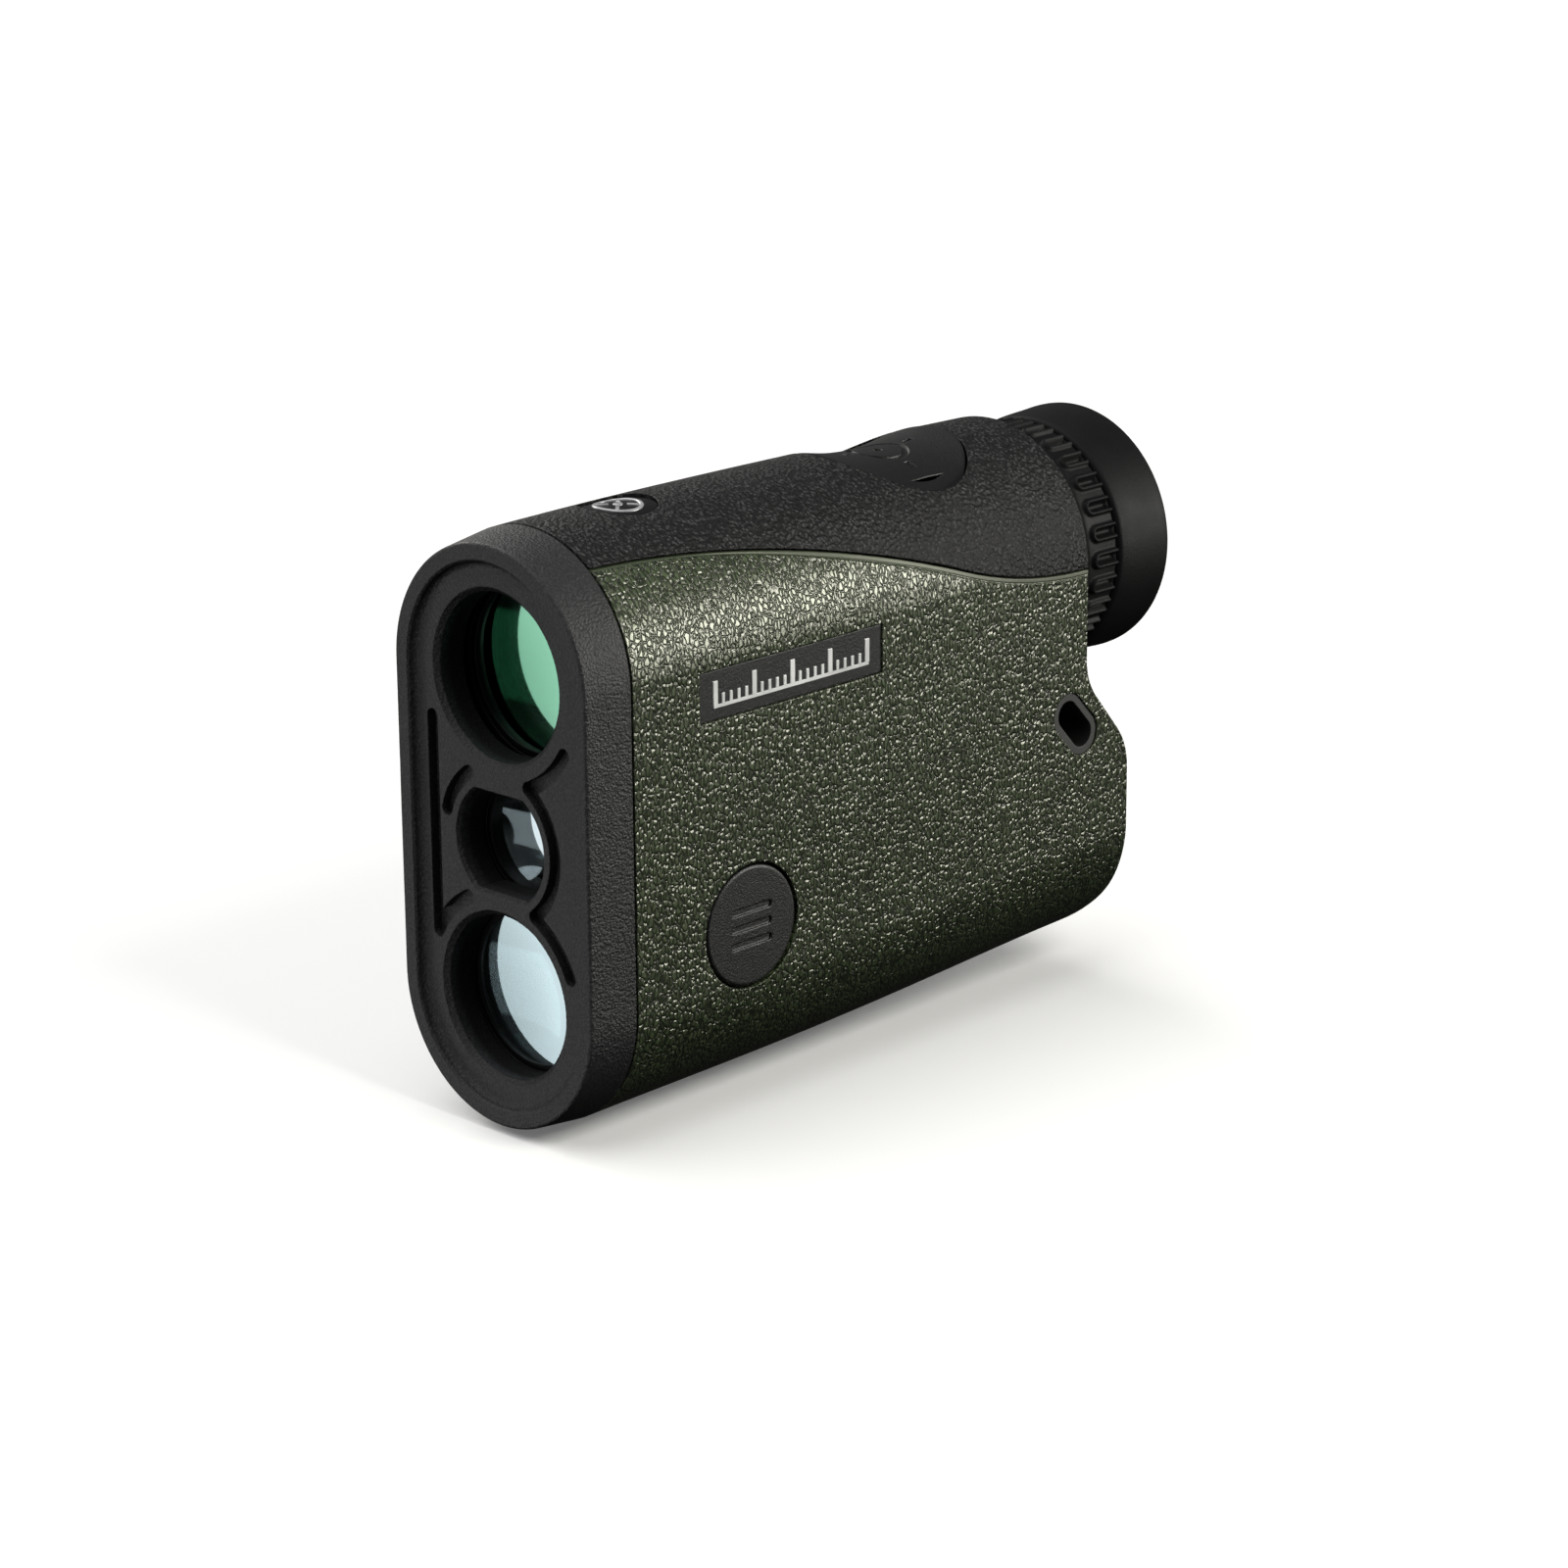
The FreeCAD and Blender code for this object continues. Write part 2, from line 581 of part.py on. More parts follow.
def front_bezel():
    front_edge = flat_sketch("rim_section", "Y", 0)
    draw_outline(front_edge, stadium(dim("rim_half_width"), dim("rim_low"), dim("rim_high")))
    back_edge = flat_sketch("seam_section", "Y", seam)
    draw_outline(back_edge, stadium(hw, size(0), dim("crown_front")))
    blank_loft = doc.addObject("Part::Loft", "bezel_loft")
    blank_loft.Sections = [front_edge, back_edge]
    blank_loft.Solid = True
    blank_loft.Ruled = True
    skin, floor, band = dim("bezel_skin"), dim("dish_depth"), dim("rim_band")
    inner = prism("bezel_hollow", "Y", dim("plate_back"), seam,
                  stadium(hw - skin - 0.6, skin + 0.6, dim("crown_front") - skin - 0.6))
    dish_half = dim("rim_half_width") - band
    dish_low, dish_high = dim("rim_low") + band, dim("rim_high") - band
    dish = prism("dish", "Y", -1, floor, stadium(dish_half, dish_low, dish_high))
    dish_round = rounded("dish", dish, "Y", floor, DIMENSIONS["dish_round"])
    skirt_low, skirt_high = wall + 0.1, dim("crown_front") - wall - 0.1
    skirt_half = hw - wall - 0.1
    skirt_out = prism("skirt_out", "Y", dim("plate_back") - 0.1, 9.0,
                      stadium(skirt_half, skirt_low, skirt_high))
    skirt_in = prism("skirt_in", "Y", 0, 9.5, stadium(skirt_half - 0.9, skirt_low + 0.9, skirt_high - 0.9))
    skirt = cut("skirt", skirt_out, skirt_in)
    rim = cut("bezel_rim", rounded("rim", blank_loft, "Y", 0, 0.4), inner)
    soft = size(0.25)
    edge_wide = flat_sketch("dish_edge_wide", "Y", 0)
    draw_outline(edge_wide, stadium(dish_half + soft, dish_low - soft, dish_high + soft))
    edge_deep = flat_sketch("dish_edge_deep", "Y", soft)
    draw_outline(edge_deep, stadium(dish_half, dish_low, dish_high))
    dish_edge = doc.addObject("Part::Loft", "dish_edge_loft")
    dish_edge.Sections = [edge_wide, edge_deep]
    dish_edge.Solid = True
    dish_edge.Ruled = True
    chamfer, thick = dim("lip_chamfer"), dim("tube_skin")
    start = dim("plate_back") - 0.1
    sight_r, receiver_r = dim("sight_hole"), dim("receiver_hole")
    emitter_skin = cut_flats(dim("emitter_hole") + 0.8, dim("emitter_flat") + 0.8)
    tubes = [bar("sight_tube", "Y", start, 5.4, 0, sight, sight_r + thick),
             prism("emitter_tube", "Y", start, 5.4, emitter_skin),
             bar("receiver_tube", "Y", start, 5.4, 0, receiver, receiver_r + 0.7)]
    holes = [dish_round, dish_edge,
             bar("sight_bore", "Y", 0, 10, 0, sight, sight_r),
             bar("receiver_bore", "Y", 0, 10, 0, receiver, receiver_r),
             prism("emitter_bore", "Y", 0, 10, cut_flats(dim("emitter_hole"), dim("emitter_flat"))),
             lip("sight_lip", sight, sight_r, chamfer), lip("receiver_lip", receiver, receiver_r, chamfer),
             emitter_lip()]
    across = DIMENSIONS["emitter_high"]
    top_gap = DIMENSIONS["sight_high"] - across
    low_gap = across - DIMENSIONS["receiver_high"]
    ring, ring_top, ring_low = (DIMENSIONS[key] for key in ("ring_emitter", "ring_sight", "ring_receiver"))
    meet_top = (ring ** 2 - ring_top ** 2 + top_gap ** 2) / (2 * top_gap)
    meet_low = (ring ** 2 - ring_low ** 2 + low_gap ** 2) / (2 * low_gap)
    high_turn = math.degrees(math.asin(meet_top / ring))
    low_turn = math.degrees(math.asin(meet_low / ring))
    top_start = -math.degrees(math.acos(math.sqrt(ring ** 2 - meet_top ** 2) / ring_top))
    low_stop = math.degrees(math.acos(math.sqrt(ring ** 2 - meet_low ** 2) / ring_low))
    left_x = -11.3
    left_low = DIMENSIONS["receiver_high"] + math.sqrt(ring_low ** 2 - left_x ** 2)
    left_turn = math.degrees(math.atan2(left_low - DIMENSIONS["receiver_high"], left_x))
    holes += [
        ring_groove("groove_middle", emitter, dim("ring_emitter"), -low_turn, high_turn),
        ring_groove("groove_top", sight, dim("ring_sight"), top_start, -32),
        ring_groove("groove_low", receiver, dim("ring_receiver"), 24, low_stop),
        ring_groove("groove_low_left", receiver, dim("ring_receiver"), 180 - low_stop, left_turn),
        ring_groove("groove_middle_left", emitter, dim("ring_emitter"), 180 - high_turn, 163),
        upright_groove("groove_left", size(left_x), size(left_low), size(49.4))]
    whole = fuse("bezel_whole", rim, skirt, *tubes)
    place(cut_each("front_bezel", whole, *holes), "front_bezel")


def lip(name, high, radius, chamfer):
    """The bevel where an aperture meets the dished face."""
    cone = doc.addObject("Part::Cone", name)
    length = chamfer + dim("dish_depth")
    cone.Radius1 = (radius + length).value
    cone.Radius2 = radius.value
    cone.Height = length.value
    cone.setExpression("Radius1", (radius + length).text)
    cone.setExpression("Radius2", radius.text)
    cone.setExpression("Height", length.text)
    cone.Placement = Placement(Vector(0, 0, high.value), Rotation(Vector(1, 0, 0), -90))
    cone.setExpression("Placement.Base.z", high.text)
    ring = bar(f"{name}_limit", "Y", 0, 10, 0, high, radius + chamfer)
    return common(name, cone, ring)


def emitter_lip():
    floor = dim("dish_depth")
    wide = flat_sketch("emitter_lip_wide", "Y", floor)
    draw_outline(wide, cut_flats(dim("emitter_hole") + 0.35, dim("emitter_flat") + 0.35))
    narrow = flat_sketch("emitter_lip_narrow", "Y", floor + 0.5)
    draw_outline(narrow, cut_flats(dim("emitter_hole"), dim("emitter_flat")))
    loft = doc.addObject("Part::Loft", "emitter_lip_loft")
    loft.Sections = [wide, narrow]
    loft.Solid = True
    loft.Ruled = True
    return loft


def bezel_gasket():
    ring = stadium(hw - 0.35, size(0.35), dim("crown_front") - 0.35)
    hole = stadium(hw - wall, wall, dim("crown_front") - wall)
    place(cut("bezel_gasket", prism("gasket_out", "Y", seam, front, ring),
              prism("gasket_in", "Y", 0, 10, hole)), "bezel_gasket")


# ---------------------------------------------------------------- controls

def measure_button():
    dips = [(58.5, 0.35), (66.0, 0.95), (74.0, 0.25), (82.0, 0.0)]
    dished = crown_blank("dished", 0.05, dips)
    sunk = cut("aim_sunk", aiming_mark(), crown_blank("dished_floor", 0.3, dips))
    low = 68.6
    disc = common("fire_disc", dished, bar("fire_round", "Z", low, 90, 0, fire, dim("fire_radius")))
    hollow = bar("fire_hollow", "Z", low - 1, low + 1.6, 0, fire, 9.0)
    stem = bar("fire_stem", "Z", low - 0.3, low + 1.8, 0, fire, 2.0)
    shell = cut("fire_shell", cut("fire_marked", disc, sunk), hollow)
    place(fuse("measure_button", shell, stem), "measure_button")


def measure_pieces():
    place(prism("measure_membrane", "Z", 66.9, 67.35, circles=[(0, fire, 10.0), (0, fire, 3.6)]),
          "measure_membrane")
    base = bar("measure_switch_base", "Z", 66.0, 67.0, 0, fire, 3.2)
    dome = bar("measure_switch_dome", "Z", 67.0, 67.45, 0, fire, 2.2)
    place(fuse("measure_switch", base, dome), "measure_switch")
    place(block("measure_board", -8, 8, 57.5, 75.5, 65.2, 66.0), "measure_board")


def obround_across(centre_x, centre_y, reach, half):
    """A level round-ended bar outline."""
    left, right = centre_x - reach, centre_x + reach
    return [line(right, centre_y - half), arc(right, centre_y + half, right, centre_y, 1),
            line(left, centre_y + half), arc(left, centre_y - half, left, centre_y, 1)]


def aiming_mark():
    """A ring and four ticks, as a tool that is sunk into the key's dished face."""
    ring = prism("aim_ring", "Z", 60, 90, circles=[(0, fire, 4.0), (0, fire, 3.2)])
    dot = bar("aim_dot", "Z", 60, 90, 0, fire, 0.6)
    ticks = []
    for step in range(4):
        along = (math.cos(math.radians(90 * step)), math.sin(math.radians(90 * step)))
        near, far, half = 4.9, 6.4, 0.4
        x0, x1 = sorted((near * along[0], far * along[0]))
        y0, y1 = sorted((near * along[1], far * along[1]))
        wide = (half * abs(along[1]), half * abs(along[0]))
        ticks.append(block(f"aim_tick_{step}", x0 - wide[0], x1 + wide[0],
                           fire + y0 - wide[1], fire + y1 + wide[1], 60, 90))
    return group("aim", ring, dot, *ticks)


def side_button():
    face = hw - 0.1
    cap = rounded("side_cap", bar("side_cap", "X", hw - 2.4, face, side_y, side_z, dim("side_radius")),
                  "X", face, 0.4)
    flange = bar("side_flange", "X", 13.6, hw - 2.4, side_y, side_z, dim("side_radius"))
    rim = bar("side_rim", "X", 13.5, 14.2, side_y, side_z, 8.2)
    stem = bar("side_stem", "X", 12.65, 13.6, side_y, side_z, 2.0)
    marks = [prism(f"side_mark_{row}", "X", face - 0.25, face + 1,
                   obround_across(side_y, side_z + row * 2.1, 3.0, 0.42)) for row in (-1, 0, 1)]
    place(cut("side_button", fuse("side_button", cap, flange, rim, stem), *marks), "side_button")


def side_pieces():
    place(prism("side_membrane", "X", 12.0, 12.3, circles=[(side_y, side_z, 5.5), (side_y, side_z, 3.6)]),
          "side_membrane")
    base = bar("side_switch_base", "X", 10.8, 11.5, side_y, side_z, 3.2)
    dome = bar("side_switch_dome", "X", 11.5, 11.95, side_y, side_z, 2.2)
    place(fuse("side_switch", base, dome), "side_switch")
    place(block("side_board", 10.0, 10.8, 20.5, 31.5, 17.5, 29.5), "side_board")


# ---------------------------------------------------------------- sighting optics

def lens(name, high, radius, front_y, edge, front_bulge, back_bulge, back_sign=1):
    """A lens from its rim: bulges are the heights of its two faces over the rim."""
    radius, front_y = size(radius), size(front_y)
    back_y = front_y + edge
    front_r = (radius * radius + front_bulge * front_bulge) / (2 * front_bulge)
    steps = [line(0, front_y - front_bulge),
             arc(radius, front_y, 0, front_y - front_bulge + front_r, 1),
             line(radius, back_y)]
    if back_bulge == 0:
        steps.append(line(0, back_y))
    else:
        back_r = (radius * radius + back_bulge * back_bulge) / (2 * back_bulge)
        reach = size(back_bulge * back_sign)
        steps.append(arc(0, back_y + reach, 0, back_y + reach - back_r * back_sign, back_sign))
    return turned(name, high, steps)


def sighting_cells():
    turned("objective_cell", sight, [
        line(dim("sight_cell"), 7.2), line(dim("sight_cell"), 14.0), line(10.5, 14.4), line(10.5, 28.0),
        line(9.4, 28.0), line(9.4, 13.4), line(11.1, 13.4), line(11.1, 7.2)])
    lens("objective_lens", sight, 11.05, 9.4, 3.0, 1.4, 0.9)
    tube("objective_retainer", sight, 10.3, 11.05, 7.4, 9.1)


def prisms():
    cage = block("cage_outer", -9.6, 9.6, 34.0, 56.0, 45.4, 66.4)
    bay = block("cage_inner", -8.1, 8.1, 35.5, 54.5, 46.9, 70.0)
    ways = bar("cage_ways", "Y", 33, 57, 0, sight, 7.5)
    place(cut("prism_cage", cage, bay, ways), "prism_cage")
    low, high = sight - 9.1, sight + 8.5
    half = [line(36.0, low), line(44.2, low), line(44.2, high - 8.6), line(36.0, high - 1.0)]
    place(prism("half_prism", "X", -8.0, 8.0, half), "half_prism")
    roof = [line(45.0, low), line(54.0, low), line(54.0, high), line(47.0, high), line(45.0, high - 7.0)]
    place(prism("roof_prism", "X", -8.0, 8.0, roof), "roof_prism")


def display():
    plate = block("display_plate", -7.0, 7.0, 61.0, 63.0, 49.0, 63.0)
    place(cut("display_module", plate, bar("display_mask", "Y", 60.5, 61.6, 0, sight, 5.2)), "display_module")
    place(block("display_flex", -11.15, -7.05, 62.0, 62.25, 50.0, 57.0), "display_flex")


def eyepiece():
    turned("eyepiece_mount", sight, [
        line(13.9, 82.6), line(13.9, 84.9), line(dim("neck_radius"), 84.9), line(dim("neck_radius"), 92.8),
        line(dim("barrel_radius") + 0.1, 92.8), line(dim("barrel_radius") + 0.1, 82.6)])
    barrel = dim("barrel_radius")
    turned("ocular_cell", sight, [
        line(barrel, 77.8), line(barrel, 95.8), line(12.2, 95.8), line(12.2, 97.0),
        line(barrel, 97.0), line(barrel, 100.0), line(10.1, 100.0), line(10.1, 79.0),
        line(9.3, 78.9), line(9.3, 77.8)])
    lens("field_lens", sight, 10.05, 79.1, 2.2, 0.8, 1.6)
    tube("lens_spacer", sight, 9.2, 10.05, 81.8, 94.9)
    lens("eye_lens", sight, 10.05, 95.2, 2.4, 1.6, 0.7)
    tube("ocular_retainer", sight, 8.9, 10.05, 98.0, 99.6)


def dioptre_ring():
    """The focusing ring: raised finger loops on a band, and a neck that carries the eyecup."""
    outer = dim("ring_radius")
    inner = dim("neck_radius") + 0.3
    bore = dim("barrel_radius") + 0.1
    blank = inner_piece("dioptre_blank", sight, [
        line(outer - 1.0, 89.3), line(outer - 0.1, 90.5), line(outer, 95.2), line(outer - 0.4, 95.5),
        line(13.15, 95.5), line(13.15, 100.0), line(12.4, 100.0), line(12.4, 95.5), line(bore, 95.5),
        line(bore, 94.0), line(inner, 94.0), line(inner, 89.3)])
    pockets = []
    for step in range(GRIPS):
        turn = math.radians(step * 360 / GRIPS)
        pockets.append(bar(f"grip_pocket_{step}", "Y", 90.2, 94.6, outer * math.cos(turn),
                           sight + outer * math.sin(turn), 0.8))
    place(cut("dioptre_ring", blank, *pockets), "dioptre_ring")


def eyecup():
    rim = dim("cup_radius")
    back = dim("length_all")
    turned("eyecup", sight, [
        line(13.2, 95.6), line(15.5, 95.6), line(15.9, 95.9), line(16.1, 97.5), line(rim, 102.0),
        line(rim, back - 0.9), arc(rim - 0.9, back, rim - 0.9, back - 0.9, 1), line(rim - 1.4, back),
        line(12.6, 101.4), line(9.4, 100.8), line(9.4, 100.1), line(13.2, 100.1)])


# ---------------------------------------------------------------- laser channel

def laser_channel():
    turned("emitter_cell", emitter, [
        line(dim("emitter_cell_radius"), 5.6), line(dim("emitter_cell_radius"), 13.4), line(7.0, 13.8),
        line(7.0, 24.0), line(6.2, 24.0), line(6.2, 10.8), line(7.2, 10.8), line(7.2, 5.6)])
    lens("emitter_lens", emitter, 7.15, 8.0, 2.2, 0.9, 0)
    tube("emitter_retainer", emitter, 6.6, 7.15, 5.8, 7.75)
    can = bar("diode_can", "Y", 24.2, 27.4, 0, emitter, 2.8)
    flange = bar("diode_flange", "Y", 27.4, 28.4, 0, emitter, 3.6)
    place(fuse("laser_diode", can, flange), "laser_diode")
    place(block("laser_board", -6.5, 6.5, 28.5, 29.4, emitter - 5.0, emitter + 7.0), "laser_board")


def receiver_channel():
    turned("receiver_cell", receiver, [
        line(dim("receiver_cell_radius"), 5.6), line(dim("receiver_cell_radius"), 11.0), line(8.5, 14.4),
        line(8.5, 27.0), line(5.6, 27.0), line(8.0, 14.4), line(9.4, 11.4), line(9.4, 10.6), line(10.2, 10.6),
        line(10.2, 5.6)])
    lens("receiver_lens", receiver, 10.15, 7.2, 2.6, 1.2, 0.8)
    tube("receiver_retainer", receiver, 9.5, 10.15, 5.8, 6.95)
    can = bar("photodiode_can", "Y", 27.2, 30.6, 0, receiver, 4.5)
    flange = bar("photodiode_flange", "Y", 30.6, 31.4, 0, receiver, 5.2)
    place(fuse("photodiode", can, flange), "photodiode")
    place(block("receiver_board", -8.5, 8.5, 31.5, 32.4, 8.0, 25.0), "receiver_board")
    can_out = block("shield_outer", -7.5, 7.5, 32.5, 37.0, 9.0, 24.0)
    can_in = block("shield_inner", -7.1, 7.1, 32.0, 36.6, 9.4, 23.6)
    place(cut("receiver_shield", can_out, can_in), "receiver_shield")


def optics_frame():
    """The plate that holds the three cells and screws to the lugs."""
    y0, y1 = dim("frame_front"), dim("frame_back")
    clear = wall + 0.25
    plate = prism("frame_plate", "Y", y0, y1, stadium(hw - clear, clear + 0.3, dim("crown_front") - clear))
    holes = [bar("frame_sight", "Y", 0, 30, 0, sight, 10.55),
             bar("frame_emitter", "Y", 0, 30, 0, emitter, 7.05),
             bar("frame_receiver", "Y", 0, 30, 0, receiver, 8.55)]
    for index, z in enumerate(LUGS):
        for hand in (-1, 1):
            holes.append(bar(f"frame_hole_{index}_{hand + 1}", "Y", 0, 30, hand * LUG_X, z, 0.85))
    place(cut("optics_frame", plate, *holes), "optics_frame")


# ---------------------------------------------------------------- electronics and power

CHIPS = [(41.0, 49.5, 21.5, 29.5), (53.0, 58.0, 29.5, 37.0),
         (60.5, 66.5, 41.0, 46.5), (40.0, 44.0, 44.0, 48.5)]


def electronics():
    board = block("board_blank", -12.2, -11.2, 36.0, 80.0, 13.0, 53.0)
    holes = [bar(f"board_hole_{index}", "X", -15, -9, y, z, POST_RADIUS + 0.4)
             for index, (y, z) in enumerate(POSTS)]
    place(cut("main_board", board, *holes), "main_board")
    chips = [block(f"chip_{index}", -11.2, -10.1, y0, y1, z0, z1)
             for index, (y0, y1, z0, z1) in enumerate(CHIPS)]
    place(group("board_chips", *chips), "board_chips")


def power():
    radius, bore = dim("battery_radius"), dim("bore_radius")
    floor = dim("cap_floor")
    start = size(61.8)
    stop = start + dim("battery_length")
    turned("battery_tube", battery_z, [
        line(tube_outer, 59.2), line(tube_outer, floor), line(9.1, floor), line(9.1, floor - 1.0),
        line(bore, floor - 1.0), line(bore, 60.2), line(0, 60.2), line(0, 59.2)])
    turned("battery", battery_z, [
        line(0, start), line(radius - 0.4, start), line(radius, start + 0.4), line(radius, stop - 1.2),
        line(3.2, stop - 0.9), line(3.0, stop), line(0, stop)])
    turned("front_contact", battery_z, [
        line(0, 60.25), line(6.0, 60.25), line(6.0, 60.65), line(2.2, 61.75), line(0, 61.75)])
    turned("cap_contact", battery_z, [
        line(0, stop + 0.1), line(5.6, stop + 0.1), line(5.6, stop + 0.6), line(1.5, stop + 0.6),
        line(1.5, stop + 2.6), line(0, stop + 2.6)])
    cap_r = dim("cap_radius")
    back = dim("bulge_back") - 0.1
    cap_front = stop + 0.8
    knob = inner_piece("cap_blank", battery_z, [
        line(0, stop + 2.8), line(1.6, stop + 2.8), line(1.6, cap_front), line(bore - 0.06, cap_front),
        line(bore - 0.06, floor + 0.2), line(cap_r, floor + 0.2), line(cap_r, back - 0.5),
        line(cap_r - 0.5, back), line(0, back)])
    coin = block("coin_slot", -7.5, 7.5, back - 0.9, 99, battery_z - 0.8, battery_z + 0.8)
    notches = []
    for step in range(12):
        turn = math.radians(step * 30 + 15)
        reach = cap_r + 0.55
        notches.append(bar(f"cap_notch_{step}", "Y", floor, 99, reach * math.cos(turn),
                           battery_z + reach * math.sin(turn), 0.9))
    place(cut("battery_cap", knob, coin, *notches), "battery_cap")
    tube("battery_cap_seal", battery_z, bore + 0.02, 9.0, floor - 0.9, floor + 0.1)


# ---------------------------------------------------------------- assembly and files

left_shell()
right_shell()
top_cover()
top_badge()
name_bars()
lanyard_sleeve()
screws()
front_bezel()
bezel_gasket()
measure_button()
measure_pieces()
side_button()
side_pieces()
sighting_cells()
prisms()
display()
eyepiece()
dioptre_ring()
eyecup()
laser_channel()
receiver_channel()
optics_frame()
electronics()
power()

doc.recompute()
for item in doc.Objects:
    if "Invalid" in item.State or "Error" in item.State:
        raise RuntimeError(f"{item.Label} ({item.Name}) failed: {item.State}")
for item in parts:
    shape = item.Shape
    if shape.isNull() or not shape.isValid() or not shape.Solids:
        raise RuntimeError(f"{item.Label} has no valid solid")
os.makedirs("parts", exist_ok=True)
for item in parts:
    item.Shape.exportStep(f"parts/{item.Label}.step")
    print(f"{item.Label}: {len(item.Shape.Solids)} solid, {item.Shape.Volume:.0f} mm3")
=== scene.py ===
import json
import math

import bmesh
import bpy
from mathutils import Matrix, Vector
from mathutils.bvhtree import BVHTree


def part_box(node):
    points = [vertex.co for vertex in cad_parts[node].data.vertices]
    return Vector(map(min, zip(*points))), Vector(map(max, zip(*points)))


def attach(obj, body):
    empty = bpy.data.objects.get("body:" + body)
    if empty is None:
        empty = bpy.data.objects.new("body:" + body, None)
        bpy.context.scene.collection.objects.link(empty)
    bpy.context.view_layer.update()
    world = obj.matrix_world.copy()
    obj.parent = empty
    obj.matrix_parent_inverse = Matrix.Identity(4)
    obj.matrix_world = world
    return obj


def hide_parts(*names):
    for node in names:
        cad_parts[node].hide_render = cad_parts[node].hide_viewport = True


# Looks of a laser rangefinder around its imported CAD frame.
# Lengths are in millimetres on the part's own stations: Y from the front rim, Z from the underside.
# Inside node trees and for the studio they are in metres, and a texture's scale is per metre.

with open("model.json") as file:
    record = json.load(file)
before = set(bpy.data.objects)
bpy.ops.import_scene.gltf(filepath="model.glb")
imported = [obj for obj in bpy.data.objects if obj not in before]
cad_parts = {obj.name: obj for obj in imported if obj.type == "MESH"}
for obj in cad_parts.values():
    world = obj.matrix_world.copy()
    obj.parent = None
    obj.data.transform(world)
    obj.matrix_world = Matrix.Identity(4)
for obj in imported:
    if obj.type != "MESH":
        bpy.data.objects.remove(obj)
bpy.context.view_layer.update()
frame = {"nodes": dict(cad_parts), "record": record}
nodes = frame["nodes"]
scene = bpy.context.scene

MM = 0.001


def axis_height(node):
    """Height of a round node's axis."""
    low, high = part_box(node)
    return round((low[2] + high[2]) / 2 / MM, 2)


rim_low, rim_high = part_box("front_bezel")
FRONT = round(rim_low[1] / MM, 2)           # the front rim's Y in the frame
HALF_WIDTH = round(rim_high[0] / MM, 2)     # the front rim's
SIGHT = axis_height("objective_lens")
EMITTER = axis_height("emitter_lens")
RECEIVER = axis_height("receiver_lens")


def at(x, y, z):
    """A point on the part's stations as a frame vector in metres."""
    return Vector((x, y + FRONT, z)) * MM


# ---------------------------------------------------------------- node trees

class Tree:
    """Short calls for building a node tree."""

    def __init__(self, tree):
        self.tree = tree

    def add(self, kind, settings=None, **inputs):
        node = self.tree.nodes.new(kind)
        for key, value in (settings or {}).items():
            setattr(node, key, value)
        for key, value in inputs.items():
            self.feed(node.inputs[key.replace("_", " ")], value)
        return node

    def feed(self, socket, value):
        """Links or sets a socket; a colour is given without its alpha."""
        if isinstance(value, bpy.types.NodeSocket):
            self.tree.links.new(value, socket)
        elif socket.type == "RGBA":
            socket.default_value = (*value, 1)
        else:
            socket.default_value = value

    def calculate(self, kind, operation, values):
        node = self.add(kind, {"operation": operation})
        for socket, value in zip(node.inputs, values):
            self.feed(socket, value)
        return node.outputs

    def math(self, operation, *values):
        return self.calculate("ShaderNodeMath", operation, values)["Value"]

    def vector(self, operation, *values):
        """A sum, difference or product of vectors."""
        return self.calculate("ShaderNodeVectorMath", operation, values)["Vector"]

    def measure(self, operation, *values):
        """A number from vectors, such as a length or a dot product."""
        return self.calculate("ShaderNodeVectorMath", operation, values)["Value"]

    def split(self, where):
        """The X, Y and Z of a vector."""
        return self.add("ShaderNodeSeparateXYZ", Vector=where).outputs

    def distance(self, u, v):
        return self.math("SQRT", self.math("MULTIPLY_ADD", u, u, self.math("MULTIPLY", v, v)))

    def ramp(self, value, low, high, to_low=0.0, to_high=1.0, smooth=True):
        """A value between low and high carried over to another range, and held beyond the ends."""
        node = self.add("ShaderNodeMapRange", {"interpolation_type": "SMOOTHSTEP" if smooth else "LINEAR"},
                        Value=value, From_Min=low, From_Max=high, To_Min=to_low, To_Max=to_high)
        return node.outputs["Result"]

    def mix(self, factor, low, high, kind="RGBA"):
        """Runs from low to high with a factor."""
        node = self.add("ShaderNodeMix", {"data_type": kind}, Factor=factor, A=low, B=high)
        return node.outputs["Result"]


